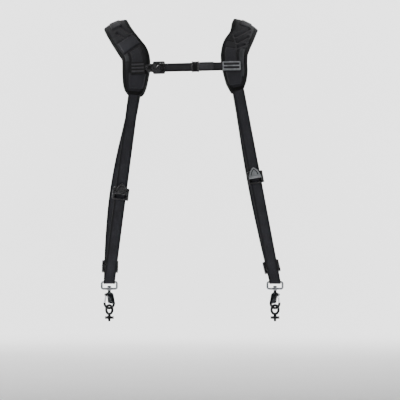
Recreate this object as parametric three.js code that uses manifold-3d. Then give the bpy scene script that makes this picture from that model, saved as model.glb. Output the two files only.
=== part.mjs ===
// Dual camera harness, in the pose in which it is worn.
// Two padded shoulder slings are joined by a chest strap with a fastened buckle and by a plain
// back strap. Each sling is one webbing loop with two cam locks, a swivel hook and a ring bolt.
// Millimetres. X runs across the shoulders, the chest side faces -Y, +Z is up.
// The origin lies midway between the two shoulder crests, on the undersides of the pads.
import * as THREE from 'three';
import Module from 'manifold-3d';
import { mergeVertices } from 'three/addons/utils/BufferGeometryUtils.js';

const wasm = await Module();
wasm.setup();

// Fit between neighbouring hard pieces, and under a panel on a curved pad
const fit = 0.3;
const sewnFit = 0.5;

// Shoulder pads
const crestSpan = 281;
const padWidth = 60;
const padThickness = 10;
const padEdge = 5;
const padRings = 37;
const chestDepth = 110;
const backDepth = 100;
const panelThickness = 1.6;

// Webbing; the eyes hang a sling drop below the crests and forward of the origin
const slingDrop = 560.5;
const eyeForward = 40;
const slingWidth = 25;
const slingThickness = 2;
const chestWidth = 18;
const chestThickness = 1.6;
const backStrapWidth = 20;
const backStrapBow = 6;

// Cam locks, whose lever turns on a pin between two ears
const lockWidth = 36;
const lockBelowPivot = 16;
const lockAbovePivot = 11;
const lockPlate = 2.5;
const earHeight = 8;
const lockBar = 4;
const leverHeight = 21.4;
const leverPlate = 3.2;
const leverBarrel = 3.4;
const leverPin = 1.2;
const leverRim = 3;

// Swivel eye, a round bar bent to a rectangle
const eyeBar = 4.5;
const eyeWindowWidth = 29;
const eyeWindowHeight = 10.7;
const eyeCorner = 4;
const swivelBoss = 10;
const swivelBossHeight = 6.5;
const rivetShaft = 5;
const rivetHead = 9;
const rivetHeadHeight = 3;

// Snap hook, wider at its bow than at its top, with a flat spine on the side without a gate
const hookWidth = 27.5;
const hookTopWidth = 20.5;
const hookHeight = 38;
const hookWire = 5.5;
const hookCorner = 5;
const hookNeck = 7.4;
const hookNeckHeight = 4;
const noseRise = 1.5;
const spineThickness = 4;
const spineTopWidth = 12.1;
const spineFootWidth = 13.2;
const gatePivotDrop = 2.75;
const gateWidth = 3;
const gateDepth = 5.2;
const gateTongue = 2.8;
const gateLug = 3.2;
const gateLugDepth = 7;
const gatePin = 2;

// Ring bolt, the fastener that screws into a camera or lens foot
const ringWire = 5.8;
const ringHole = 13.4;
const ringSlack = 0.8;
const boltDisc = 20;
const boltDiscHeight = 3.5;
const boltNeckHeight = 2.2;
const studDiameter = 6.2;
const studLength = 5.5;
const washerThickness = 2;

// Sternum strap hardware
const sliderBar = 3;
const sliderThickness = 4.5;
const socketLength = 22;
const socketWidth = 15.6;
const buckleThickness = 7;
const plugLength = 26.8;
const plugWidth = 27.5;
const plugOverlap = 5.3;
const plugBar = 2.6;
const plugSlot = 3.2;
const keeperLength = 16;
const keeperWidth = 26;
const keeperThickness = 6;
const keeperPlace = 0.53;
const sleeveLength = 31.5;
const sleeveWidth = 20;

// Outline of a pad, a row for each station from the crest down to a tip.
// drop is a share of the side's pad drop, inward a share of the pad width towards the chest
// centre, depth a share of the chest or back depth, width a share of the pad width, and
// slope the degrees by which the pad climbs towards the neck.
const padRows = {
  left: [
    { drop: 0.0, inward: 0.0, depth: 0.0, width: 0.91, slope: 22 },
    { drop: 0.15, inward: 0.23, depth: 0.345, width: 0.93, slope: 30 },
    { drop: 0.29, inward: 0.477, depth: 0.58, width: 0.97, slope: 30 },
    { drop: 0.415, inward: 0.68, depth: 0.725, width: 1.0, slope: 27 },
    { drop: 0.55, inward: 0.715, depth: 0.82, width: 1.0, slope: 17 },
    { drop: 0.7, inward: 0.688, depth: 0.9, width: 0.94, slope: 5 },
    { drop: 0.863, inward: 0.66, depth: 0.965, width: 0.825, slope: 3 },
    { drop: 0.96, inward: 0.645, depth: 0.993, width: 0.66, slope: 4 },
    { drop: 1.0, inward: 0.635, depth: 1.0, width: 0.47, slope: 6 },
  ],
  right: [
    { drop: 0.0, inward: 0.0, depth: 0.0, width: 0.99, slope: 26 },
    { drop: 0.15, inward: 0.1, depth: 0.345, width: 0.92, slope: 16 },
    { drop: 0.29, inward: 0.275, depth: 0.58, width: 1.0, slope: 9 },
    { drop: 0.415, inward: 0.357, depth: 0.725, width: 0.98, slope: 4 },
    { drop: 0.55, inward: 0.36, depth: 0.82, width: 0.935, slope: 1 },
    { drop: 0.7, inward: 0.317, depth: 0.9, width: 0.88, slope: 0 },
    { drop: 0.863, inward: 0.283, depth: 0.965, width: 0.73, slope: -4 },
    { drop: 0.96, inward: 0.247, depth: 0.993, width: 0.54, slope: -8 },
    { drop: 1.0, inward: 0.213, depth: 1.0, width: 0.46, slope: -10 },
  ],
};

// Run of the rear strand from its eye up to the rear tip of the pad.
// up is a share of the strand's rise, out a share of the sway away from the body's middle.
const rearSway = [
  { up: 0.25, out: 0.72 },
  { up: 0.45, out: 1.0 },
  { up: 0.62, out: 0.86 },
  { up: 0.8, out: 0.4 },
  { up: 0.92, out: 0.1 },
];

// What differs between the two sides of the pose.
// eyeOut is the eye's distance from the body's middle; lock places are shares of the front strand;
// the yaws turn the hook about its swivel and the ring bolt about the hook's bow.
const sides = {
  left: {
    sign: -1,
    padDrop: 148,
    railShift: 5.4,
    sliderShare: 0.146,
    sliderLength: 31.7,
    sliderWidth: 27,
    eyeOut: 157.4,
    frontLock: 0.523,
    frontBulge: -14,
    rearSway: 14,
    hookYaw: 20,
    ringYaw: 25,
  },
  right: {
    sign: 1,
    padDrop: 138,
    railShift: -8,
    sliderShare: 0.131,
    sliderLength: 39.6,
    sliderWidth: 20,
    eyeOut: 208.9,
    frontLock: 0.449,
    frontBulge: -14,
    rearSway: -6,
    hookYaw: 150,
    ringYaw: -25,
  },
};

// Middle of the rear lock above the eye, and the straight webbing beyond a lock
const rearLockHeight = 36;
const lockMargin = 2;

// Stretches of the pads that carry panels, as shares of the pad's length from its front tip
const lowerPanel = { from: 0.03, to: 0.115, outer: 0.5, inner: 0.86 };
const rail = { from: 0.14, to: 0.25 };
const labelBand = { from: 0.265, to: 0.33, side: 0.6 };
const crestBand = { from: 0.45, to: 0.62, side: 0.42 };
const backStrapShare = 0.83;

const finish = {
  padding: { color: 0x2b2b30, roughness: 0.9, metalness: 0 },
  webbing: { color: 0x303034, roughness: 0.8, metalness: 0 },
  panel: { color: 0x3a3a40, roughness: 0.7, metalness: 0 },
  plastic: { color: 0x17171a, roughness: 0.45, metalness: 0 },
  metal: { color: 0x8c8f94, roughness: 0.35, metalness: 1 },
  darkMetal: { color: 0x2c2d30, roughness: 0.35, metalness: 1 },
  rubber: { color: 0x121213, roughness: 0.9, metalness: 0 },
};

const harness = new THREE.Group();

// Solids and placing

function named(name, geometry, look, place = harness) {
  const mesh = new THREE.Mesh(geometry, new THREE.MeshStandardMaterial(look));
  mesh.name = name;
  place.add(mesh);
  return mesh;
}

function placed(origin, xAxis, yAxis, zAxis, parent = harness) {
  const group = new THREE.Group();
  group.quaternion.setFromRotationMatrix(new THREE.Matrix4().makeBasis(xAxis, yAxis, zAxis));
  group.position.copy(origin);
  parent.add(group);
  return group;
}

function solid(geometry) {
  const bare = geometry.clone();
  bare.deleteAttribute('normal');
  bare.deleteAttribute('uv');
  const merged = mergeVertices(bare, 1e-4);
  const vertProperties = new Float32Array(merged.attributes.position.array);
  const triVerts = new Uint32Array(merged.index.array);
  return new wasm.Manifold(new wasm.Mesh({ numProp: 3, vertProperties, triVerts }));
}

function geometryOf(manifold) {
  const mesh = manifold.getMesh();
  const geometry = new THREE.BufferGeometry();
  const positions = new THREE.BufferAttribute(new Float32Array(mesh.vertProperties), mesh.numProp);
  geometry.setAttribute('position', positions);
  geometry.setIndex(new THREE.BufferAttribute(new Uint32Array(mesh.triVerts), 1));
  return geometry;
}

function joined(...geometries) {
  return geometryOf(geometries.map(solid).reduce((whole, piece) => whole.add(piece)));
}

function cut(geometry, ...tools) {
  return geometryOf(tools.map(solid).reduce((whole, tool) => whole.subtract(tool), solid(geometry)));
}

function common(one, other) {
  return geometryOf(solid(one).intersect(solid(other)));
}

// A closed solid through rings of points. The two halves of a ring mirror each other, so an
// end is closed by a strip between them; a looped solid joins its last ring to its first.
function skin(rings, looped = false) {
  const count = rings[0].length;
  const positions = rings.flat().flatMap((point) => [point.x, point.y, point.z]);
  const faces = [];
  const quad = (a, b, c, d) => faces.push(a, b, c, a, c, d);
  const last = looped ? rings.length : rings.length - 1;
  for (let ring = 0; ring < last; ring += 1) {
    const here = ring * count;
    const next = ((ring + 1) % rings.length) * count;
    for (let k = 0; k < count; k += 1) {
      const after = (k + 1) % count;
      quad(here + k, here + after, next + after, next + k);
    }
  }
  if (!looped) {
    const end = (rings.length - 1) * count;
    for (let k = 0; k < count / 2 - 1; k += 1) {
      quad(k, count - 1 - k, count - 2 - k, k + 1);
      quad(end + k, end + k + 1, end + count - 2 - k, end + count - 1 - k);
    }
  }
  const geometry = new THREE.BufferGeometry();
  geometry.setAttribute('position', new THREE.Float32BufferAttribute(positions, 3));
  geometry.setIndex(faces);
  return facingOut(geometry);
}

// Turns the faces over where the enclosed volume comes out negative
function facingOut(geometry) {
  const at = (k) => new THREE.Vector3().fromBufferAttribute(geometry.attributes.position, k);
  const index = Array.from(geometry.index.array);
  let volume = 0;
  for (let f = 0; f < index.length; f += 3) {
    volume += at(index[f]).dot(at(index[f + 1]).cross(at(index[f + 2])));
  }
  if (volume < 0) {
    for (let f = 0; f < index.length; f += 3) {
      [index[f + 1], index[f + 2]] = [index[f + 2], index[f + 1]];
    }
    geometry.setIndex(index);
  }
  return geometry;
}

// Directions along a line of points, each halfway between its two neighbouring stretches
function directions(points, looped = false) {
  const count = points.length;
  return points.map((point, k) => {
    const before = looped ? points[(k + count - 1) % count] : points[Math.max(k - 1, 0)];
    const after = looped ? points[(k + 1) % count] : points[Math.min(k + 1, count - 1)];
    const along = new THREE.Vector3();
    if (before !== point) along.add(point.clone().sub(before).normalize());
    if (after !== point) along.add(after.clone().sub(point).normalize());
    return along.normalize();
  });
}

// A flat band along a line of points. The band's width lies along `across`, made square to
// the line at each point.
function ribbon(points, across, width, thickness, alongs = directions(points)) {
  const rings = points.map((point, k) => {
    const along = alongs[k];
    const side = across.clone().addScaledVector(along, -across.dot(along)).normalize();
    const up = side.clone().cross(along).normalize();
    return [[-1, 1], [1, 1], [1, -1], [-1, -1]].map(([s, u]) =>
      point.clone()
        .addScaledVector(side, (s * width) / 2)
        .addScaledVector(up, (u * thickness) / 2));
  });
  return skin(rings);
}

// A round bar along points in the XZ plane
function bar(points, diameter, looped = false, facets = 8) {
  const alongs = directions(points, looped);
  const normal = new THREE.Vector3(0, 1, 0);
  const rings = points.map((point, k) => {
    const side = normal.clone().cross(alongs[k]);
    return Array.from({ length: facets }, (_, n) => {
      const angle = ((n + 0.5) * 2 * Math.PI) / facets;
      return point.clone()
        .addScaledVector(side, (Math.cos(angle) * diameter) / 2)
        .addScaledVector(normal, (Math.sin(angle) * diameter) / 2);
    });
  });
  return skin(rings, looped);
}

function arc(x, z, radius, fromDegrees, toDegrees, steps) {
  return Array.from({ length: steps + 1 }, (_, k) => {
    const angle = THREE.MathUtils.degToRad(fromDegrees + ((toDegrees - fromDegrees) * k) / steps);
    return new THREE.Vector3(x + radius * Math.cos(angle), 0, z + radius * Math.sin(angle));
  });
}

function roundedRectangle(x, y, width, height, radius) {
  const shape = new THREE.Shape();
  shape.moveTo(x + radius, y);
  shape.lineTo(x + width - radius, y);
  shape.absarc(x + width - radius, y + radius, radius, -Math.PI / 2, 0);
  shape.absarc(x + width - radius, y + height - radius, radius, 0, Math.PI / 2);
  shape.absarc(x + radius, y + height - radius, radius, Math.PI / 2, Math.PI);
  shape.absarc(x + radius, y + radius, radius, Math.PI, Math.PI * 1.5);
  return shape;
}

// A plate with the shape's outline in the XZ plane, between two distances along Y
function plate(shape, fromY, toY, curveSegments = 3) {
  const geometry = new THREE.ExtrudeGeometry(shape, {
    depth: toY - fromY,
    bevelEnabled: false,
    curveSegments,
  });
  return geometry.rotateX(Math.PI / 2).translate(0, toY, 0);
}

// A block with the shape's outline in the YZ plane, centred on X
function profile(shape, width, curveSegments = 4) {
  const geometry = new THREE.ExtrudeGeometry(shape, {
    depth: width,
    bevelEnabled: false,
    curveSegments,
  });
  const turn = new THREE.Matrix4().makeBasis(
    new THREE.Vector3(0, 1, 0),
    new THREE.Vector3(0, 0, 1),
    new THREE.Vector3(1, 0, 0),
  );
  return geometry.applyMatrix4(turn).translate(-width / 2, 0, 0);
}

function box(x0, x1, y0, y1, z0, z1) {
  return new THREE.BoxGeometry(x1 - x0, y1 - y0, z1 - z0)
    .translate((x0 + x1) / 2, (y0 + y1) / 2, (z0 + z1) / 2);
}

function rodAlongX(radius, length, segments = 12) {
  return new THREE.CylinderGeometry(radius, radius, length, segments).rotateZ(Math.PI / 2);
}

function rodAlongY(radius, length, segments = 12) {
  return new THREE.CylinderGeometry(radius, radius, length, segments);
}

function rodAlongZ(radius, fromZ, toZ, segments = 16) {
  return new THREE.CylinderGeometry(radius, radius, toZ - fromZ, segments)
    .rotateX(Math.PI / 2)
    .translate(0, 0, (fromZ + toZ) / 2);
}

// Shoulder pads

const padColumns = [-1, -0.86, -0.6, -0.3, 0, 0.3, 0.6, 0.86, 1];

// Height of the padding over the underside: full in the middle, thin at the bound edge
function crown(column) {
  return padEdge + (padThickness - padEdge) * (1 - column ** 4);
}

// The same height on the flat facets between the columns
function facetHeight(column) {
  const after = Math.max(1, padColumns.findIndex((edge) => edge >= column));
  const [low, high] = [padColumns[after - 1], padColumns[after]];
  const share = (column - low) / (high - low);
  return THREE.MathUtils.lerp(crown(low), crown(high), share);
}

// The pad's run over the shoulder, from its front tip over the crest to its rear tip
function padFrame(name) {
  const side = sides[name];
  const crestX = (side.sign * crestSpan) / 2;
  const station = (row, depth) => ({
    place: new THREE.Vector3(
      crestX - side.sign * row.inward * padWidth,
      row.depth * depth,
      -row.drop * side.padDrop,
    ),
    section: new THREE.Vector3(row.width * padWidth, -side.sign * row.slope, 0),
  });
  const front = padRows[name].map((row) => station(row, -chestDepth)).reverse();
  const rear = padRows[name].slice(1).map((row) => station(row, backDepth));
  const stations = [...front, ...rear];
  const line = new THREE.CatmullRomCurve3(stations.map((entry) => entry.place));
  const sections = new THREE.CatmullRomCurve3(stations.map((entry) => entry.section));
  const rings = Array.from({ length: padRings }, (_, k) => {
    const share = k / (padRings - 1);
    const section = sections.getPoint(line.getUtoTmapping(share));
    const slope = THREE.MathUtils.degToRad(section.y);
    const along = line.getTangentAt(share);
    const across = new THREE.Vector3(Math.cos(slope), 0, Math.sin(slope));
    across.addScaledVector(along, -across.dot(along)).normalize();
    return {
      place: line.getPointAt(share),
      along,
      across,
      out: across.clone().cross(along).normalize(),
      half: section.x / 2,
    };
  });
  const row = (share) => Math.round(share * (padRings - 1));
  const surface = (ring, column, above) =>
    rings[ring].place.clone()
      .addScaledVector(rings[ring].across, column * rings[ring].half)
      .addScaledVector(rings[ring].out, facetHeight(column) + above);
  return { rings, row, surface };
}

function pad(frame) {
  const rings = frame.rings.map((ring, k) => [
    ...padColumns.map((column) => frame.surface(k, column, 0)),
    ...[...padColumns].reverse().map((column) =>
      ring.place.clone().addScaledVector(ring.across, column * ring.half)),
  ]);
  return skin(rings);
}

// A panel sewn on the pad between two rows, following its facets. columnsAt gives the panel's
// columns at a ring, from one side to the other.
function padPanel(frame, stretch, columnsAt) {
  const rings = [];
  for (let k = frame.row(stretch.from); k <= frame.row(stretch.to); k += 1) {
    const columns = columnsAt(frame.rings[k]);
    rings.push([
      ...columns.map((column) => frame.surface(k, column, sewnFit + panelThickness)),
      ...[...columns].reverse().map((column) => frame.surface(k, column, sewnFit)),
    ]);
  }
  return skin(rings);
}

// Columns from one share of the half width to another, with the pad's own columns between
function columnsBetween(low, high) {
  return () => [low, ...padColumns.filter((edge) => edge > low && edge < high), high];
}

// Columns of a band of constant width whose middle is shifted off the pad's middle
function columnsOfBand(shift, width) {
  return (ring) => [-1, -0.5, 0, 0.5, 1].map((edge) => (shift + (edge * width) / 2) / ring.half);
}

// Sling webbing: front strand, bend under the eye's top bar, rear strand

function slingPath(name, frame) {
  const side = sides[name];
  const eye = new THREE.Vector3(side.sign * side.eyeOut, -eyeForward, -slingDrop);
  const seat = (ring, outward) => {
    const middle = ring.place.clone().addScaledVector(ring.out, padEdge / 2);
    return middle.addScaledVector(ring.along, outward * fit);
  };
  const start = seat(frame.rings[0], -1);
  const end = seat(frame.rings[padRings - 1], 1);
  const bend = eyeBar / 2 + fit + slingThickness / 2;
  const strandPoint = (top, share, bulge, sway) => {
    const arch = Math.sin(Math.PI * share);
    return top.clone().lerp(eye, share).add(new THREE.Vector3(sway, bulge * arch, 0));
  };
  const span = start.distanceTo(eye);
  const lockHalf = (lockAbovePivot + lockBelowPivot) / span;
  const frontShares = [0.14, 0.28, side.frontLock - lockHalf, side.frontLock + lockHalf, 0.72, 0.86];
  const front = frontShares.map((share) => strandPoint(start, share, side.frontBulge, 0));
  const rearPoint = (up) => {
    const sway = swayAt(up) * side.rearSway * side.sign;
    return strandPoint(end, 1 - up, 0, sway);
  };
  const rearSpan = end.distanceTo(eye);
  const rearLockUps = [-1, 1].map((way) =>
    (rearLockHeight + way * ((lockAbovePivot + lockBelowPivot) / 2 + lockMargin)) / rearSpan);
  const rear = [...rearLockUps, ...rearSway.map((row) => row.up)].map(rearPoint);
  const leanOf = (point) => {
    const rise = point.clone().sub(eye);
    return Math.atan2(rise.y, rise.z);
  };
  const frontLean = leanOf(front[front.length - 1]);
  const rearLean = leanOf(rear[0]);
  const steps = 6;
  const turn = Array.from({ length: steps + 1 }, (_, k) => {
    const from = Math.PI - frontLean;
    const to = 2 * Math.PI - rearLean;
    const angle = from + ((to - from) * k) / steps;
    return eye.clone().add(new THREE.Vector3(0, Math.cos(angle) * bend, Math.sin(angle) * bend));
  });
  return { points: [start, ...front, ...turn, ...rear, end], front, rear, eye };
}

// Sway of the rear strand at a share of its rise, on a smooth line through the table
function swayAt(up) {
  const rows = [{ up: 0, out: 0 }, ...rearSway, { up: 1, out: 0 }];
  const line = new THREE.SplineCurve(rows.map((row) => new THREE.Vector2(row.up, row.out)));
  const after = rows.findIndex((row, k) => k > 0 && row.up >= up);
  const share = (up - rows[after - 1].up) / (rows[after].up - rows[after - 1].up);
  return line.getPoint((after - 1 + share) / (rows.length - 1)).y;
}

// Cam locks

const earThickness = (lockWidth - slingWidth) / 2 - 1.3;
const leverWidth = lockWidth - 2 * (earThickness + fit);
const pivotOut = slingThickness / 2 + fit + leverBarrel;

function archShape(width, fromZ, toZ) {
  const shoulder = fromZ + (toZ - fromZ) * 0.3;
  const shape = new THREE.Shape();
  shape.moveTo(-width / 2, fromZ);
  shape.lineTo(width / 2, fromZ);
  shape.lineTo(width / 2, shoulder);
  shape.absellipse(0, shoulder, width / 2, toZ - shoulder, 0, Math.PI, false);
  return shape;
}

// Back plate behind the webbing, two ears for the lever's pin and a bar in front of the webbing
function lockBody() {
  const plateFrom = slingThickness / 2 + fit;
  const plateTo = plateFrom + lockPlate;
  const height = lockBelowPivot + lockAbovePivot;
  const back = plate(
    roundedRectangle(-lockWidth / 2, -lockBelowPivot, lockWidth, height, 3),
    plateFrom,
    plateTo,
  );
  const ear = new THREE.Shape();
  ear.moveTo(plateTo - 0.5, -lockBelowPivot + 1);
  ear.lineTo(plateTo - 0.5, lockAbovePivot - 1);
  ear.lineTo(plateFrom - 2, lockAbovePivot - 2);
  ear.quadraticCurveTo(-earHeight, lockAbovePivot / 2, -earHeight, 0);
  ear.lineTo(-earHeight, -lockBelowPivot + lockBar);
  ear.lineTo(-earHeight + 2, -lockBelowPivot + 1);
  const earMiddle = (lockWidth - earThickness) / 2;
  const ears = [-1, 1].map((way) => profile(ear, earThickness).translate(way * earMiddle, 0, 0));
  const front = box(
    -lockWidth / 2 + 1,
    lockWidth / 2 - 1,
    -earHeight + 2,
    -plateFrom,
    -lockBelowPivot + 1,
    -lockBelowPivot + lockBar,
  );
  const hole = rodAlongX(leverPin + fit, lockWidth + 2).translate(0, -pivotOut, 0);
  return cut(joined(back, ...ears, front), hole);
}

// An arched plate with a raised middle, on a round barrel with a pin at each end
function lockLever() {
  const underside = -slingThickness / 2 - fit - 0.4;
  const rise = 1.2;
  const outer = plate(archShape(leverWidth, 0, leverHeight), underside - leverPlate, underside, 6);
  const raised = plate(
    archShape(leverWidth - 2 * leverRim, leverRim - 1, leverHeight - leverRim),
    underside - leverPlate - rise,
    underside - leverPlate + fit,
    6,
  );
  const barrel = rodAlongX(leverBarrel, leverWidth, 14).translate(0, -pivotOut, 0);
  const pin = rodAlongX(leverPin, lockWidth - 1).translate(0, -pivotOut, 0);
  return joined(outer, raised, barrel, pin);
}

// A lock on a straight stretch of strand between its lower and upper point
function camLock(label, lower, upper, pivotUp, facing) {
  const up = upper.clone().sub(lower).normalize();
  const across = new THREE.Vector3(facing, 0, 0);
  across.addScaledVector(up, -across.dot(up)).normalize();
  const pivot = lower.clone().addScaledVector(up, pivotUp);
  const group = placed(pivot, across, up.clone().cross(across), up);
  named(`${label}_lock_body`, lockBody(), finish.plastic, group);
  named(`${label}_lock_lever`, lockLever(), finish.plastic, group);
}

// Swivel eye, hook, gate and ring bolt, all measured down from the eye's top bar

const eyeDrop = eyeWindowHeight + eyeBar;
const bossTop = -eyeDrop + swivelBossHeight / 2;
const bossBottom = -eyeDrop - swivelBossHeight / 2;
const hookTop = bossBottom - fit - hookNeckHeight;
const hookSide = (hookWidth - hookWire) / 2;
const hookTopSide = (hookTopWidth - hookWire) / 2;
const topBarZ = hookTop - hookWire / 2;
const bowBarZ = hookTop - hookHeight + hookWire / 2;
const gatePivotZ = topBarZ - gatePivotDrop;
const gateTongueRadius = gatePin / 2 + fit + 0.9;
const noseZ = bowBarZ + hookSide + noseRise;
const gateLean = Math.atan2(hookSide - hookTopSide, gatePivotZ - noseZ);
const gateLength = Math.hypot(hookSide - hookTopSide, gatePivotZ - noseZ) - 2 * fit;
const ringRadius = (ringHole + ringWire) / 2;
const ringZ = bowBarZ - (ringHole - hookWire) / 2 + ringSlack;
const discTop = ringZ - ringRadius - ringWire / 2 - boltNeckHeight;
const discBottom = discTop - boltDiscHeight;

function hookEye() {
  const half = (eyeWindowWidth + eyeBar) / 2;
  const inset = half - eyeCorner;
  const frame = bar([
    ...arc(-inset, -eyeDrop + eyeCorner, eyeCorner, 180, 270, 3),
    ...arc(inset, -eyeDrop + eyeCorner, eyeCorner, 270, 360, 3),
    ...arc(inset, -eyeCorner, eyeCorner, 0, 90, 3),
    ...arc(-inset, -eyeCorner, eyeCorner, 90, 180, 3),
  ], eyeBar, true);
  const boss = rodAlongZ(swivelBoss / 2, bossBottom, bossTop);
  const hole = rodAlongZ(rivetShaft / 2 + fit, bossBottom - 1, bossTop + 1);
  return cut(joined(frame, boss), hole);
}

function hookBody() {
  const inset = hookTopSide - hookCorner;
  const wire = bar([
    ...arc(-inset, topBarZ - hookCorner, hookCorner, 180, 90, 3),
    ...arc(inset, topBarZ - hookCorner, hookCorner, 90, 0, 3),
    ...arc(0, bowBarZ + hookSide, hookSide, 0, -180, 10),
    new THREE.Vector3(-hookSide, 0, noseZ),
  ], hookWire);
  const neck = rodAlongZ(hookNeck / 2, topBarZ, bossBottom - fit);
  const shaft = rodAlongZ(rivetShaft / 2, bossBottom - 1, bossTop + 1);
  const head = rodAlongZ(rivetHead / 2, bossTop + fit, bossTop + fit + rivetHeadHeight);
  const spine = new THREE.Shape();
  spine.moveTo(hookTopSide - spineTopWidth, topBarZ);
  spine.lineTo(hookTopSide - spineTopWidth, topBarZ - hookWire);
  spine.lineTo(hookSide - spineFootWidth, noseZ - 1);
  spine.lineTo(hookSide, noseZ - 3);
  spine.lineTo(hookTopSide, topBarZ - hookCorner);
  spine.lineTo(hookTopSide - 1, topBarZ);
  const web = plate(spine, -spineThickness / 2, spineThickness / 2);
  const lug = rodAlongY(gateLug, gateLugDepth, 14).translate(-hookTopSide, 0, gatePivotZ);
  const pin = rodAlongY(gatePin / 2, gateLugDepth - 1, 10).translate(-hookTopSide, 0, gatePivotZ);
  const slotHalf = gateTongue / 2 + fit;
  const slotTop = gatePivotZ + gateTongueRadius + fit;
  const slot = box(
    -hookTopSide - 4,
    -hookTopSide + gateTongueRadius + fit,
    -slotHalf,
    slotHalf,
    gatePivotZ - 2 * hookCorner,
    slotTop,
  );
  return joined(cut(joined(wire, web, neck, shaft, head, lug), slot), pin);
}

// The gate is made about its pin and leans out to the nose
function hookGate() {
  const half = gateWidth / 2;
  const blockTop = -gateLug - 0.8;
  const tongue = rodAlongY(gateTongueRadius, gateTongue, 14);
  const stem = box(-half, half, -gateTongue / 2, gateTongue / 2, blockTop - 1, 0);
  const block = box(-half, half, -gateDepth / 2, gateDepth / 2, -gateLength, blockTop);
  const hole = rodAlongY(gatePin / 2 + fit, gateTongue + 2, 10);
  return cut(joined(tongue, stem, block), hole)
    .rotateY(gateLean)
    .translate(-hookTopSide, 0, gatePivotZ);
}

function turned(points, segments = 20) {
  const outline = points.map(([radius, z]) => new THREE.Vector2(radius, z));
  return facingOut(new THREE.LatheGeometry(outline, segments).rotateX(Math.PI / 2));
}

function ringBolt() {
  const ring = new THREE.TorusGeometry(ringRadius, ringWire / 2, 8, 20)
    .rotateY(Math.PI / 2)
    .translate(0, 0, ringZ);
  const neckTop = ringZ - ringRadius;
  const base = turned([
    [0, neckTop],
    [ringWire / 2, neckTop],
    [ringWire * 0.7, discTop + boltNeckHeight / 2],
    [boltDisc / 2, discTop],
    [boltDisc / 2, discBottom],
    [studDiameter / 2, discBottom],
    [studDiameter / 2, discBottom - fit - washerThickness - studLength],
    [0, discBottom - fit - washerThickness - studLength],
  ]);
  return joined(ring, base);
}

function ringWasher() {
  const inner = studDiameter / 2 + fit;
  const outer = boltDisc / 2;
  const top = discBottom - fit;
  const bottom = top - washerThickness;
  return turned([[inner, top], [outer, top], [outer, bottom], [inner, bottom], [inner, top]]);
}

// Sternum strap hardware, flat frames between a back face at y = 0 and the front

function sliderFrame(length, width) {
  const count = Math.floor((width - sliderBar) / (2.6 * sliderBar));
  const slot = (width - sliderBar * (count + 1)) / count;
  const frame = plate(roundedRectangle(-length / 2, -width / 2, length, width, 2.5), -sliderThickness, 0);
  const slots = Array.from({ length: count }, (_, k) => {
    const low = -width / 2 + sliderBar + k * (slot + sliderBar);
    const half = length / 2 - sliderBar;
    return box(-half, half, -sliderThickness - 1, 1, low, low + slot);
  });
  return cut(frame, ...slots);
}

function buckleSocket(from) {
  const outline = roundedRectangle(from, -socketWidth / 2, socketLength, socketWidth, 1.5);
  return plate(outline, -buckleThickness / 2, buckleThickness / 2);
}

function bucklePlug(from) {
  const half = buckleThickness / 2;
  const outline = roundedRectangle(from, -plugWidth / 2, plugLength, plugWidth, 4);
  const recess = box(from - 1, from + plugOverlap + fit, -half - 1, half + 1,
    -socketWidth / 2 - fit, socketWidth / 2 + fit);
  const slotHalf = chestWidth / 2 + 1;
  const lastSlot = from + plugLength - plugBar - plugSlot;
  const firstSlot = lastSlot - plugBar - plugSlot;
  const slots = [firstSlot, lastSlot].map((x) =>
    box(x, x + plugSlot, -half - 1, half + 1, -slotHalf, slotHalf));
  const tip = from + plugOverlap + fit + plugBar;
  const opening = new THREE.Shape();
  opening.moveTo(tip, 0);
  opening.lineTo(firstSlot - plugBar / 2, -slotHalf * 0.8);
  opening.lineTo(firstSlot - plugBar / 2, slotHalf * 0.8);
  return cut(plate(outline, -half, half), recess, ...slots, plate(opening, -half - 1, half + 1));
}

// A flat tube around the webbing, keeping its two layers together
function keeperLoop(middle) {
  const half = keeperLength / 2;
  const outer = plate(
    roundedRectangle(middle - half, -keeperWidth / 2, keeperLength, keeperWidth, 2),
    -keeperThickness / 2,
    keeperThickness / 2,
  );
  const halfGap = chestThickness / 2 + fit;
  const halfWidth = chestWidth / 2 + fit;
  return cut(outer, box(middle - half - 1, middle + half + 1, -halfGap, halfGap, -halfWidth, halfWidth));
}

// The whole harness

const frames = { left: padFrame('left'), right: padFrame('right') };
const sliders = {};

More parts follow.
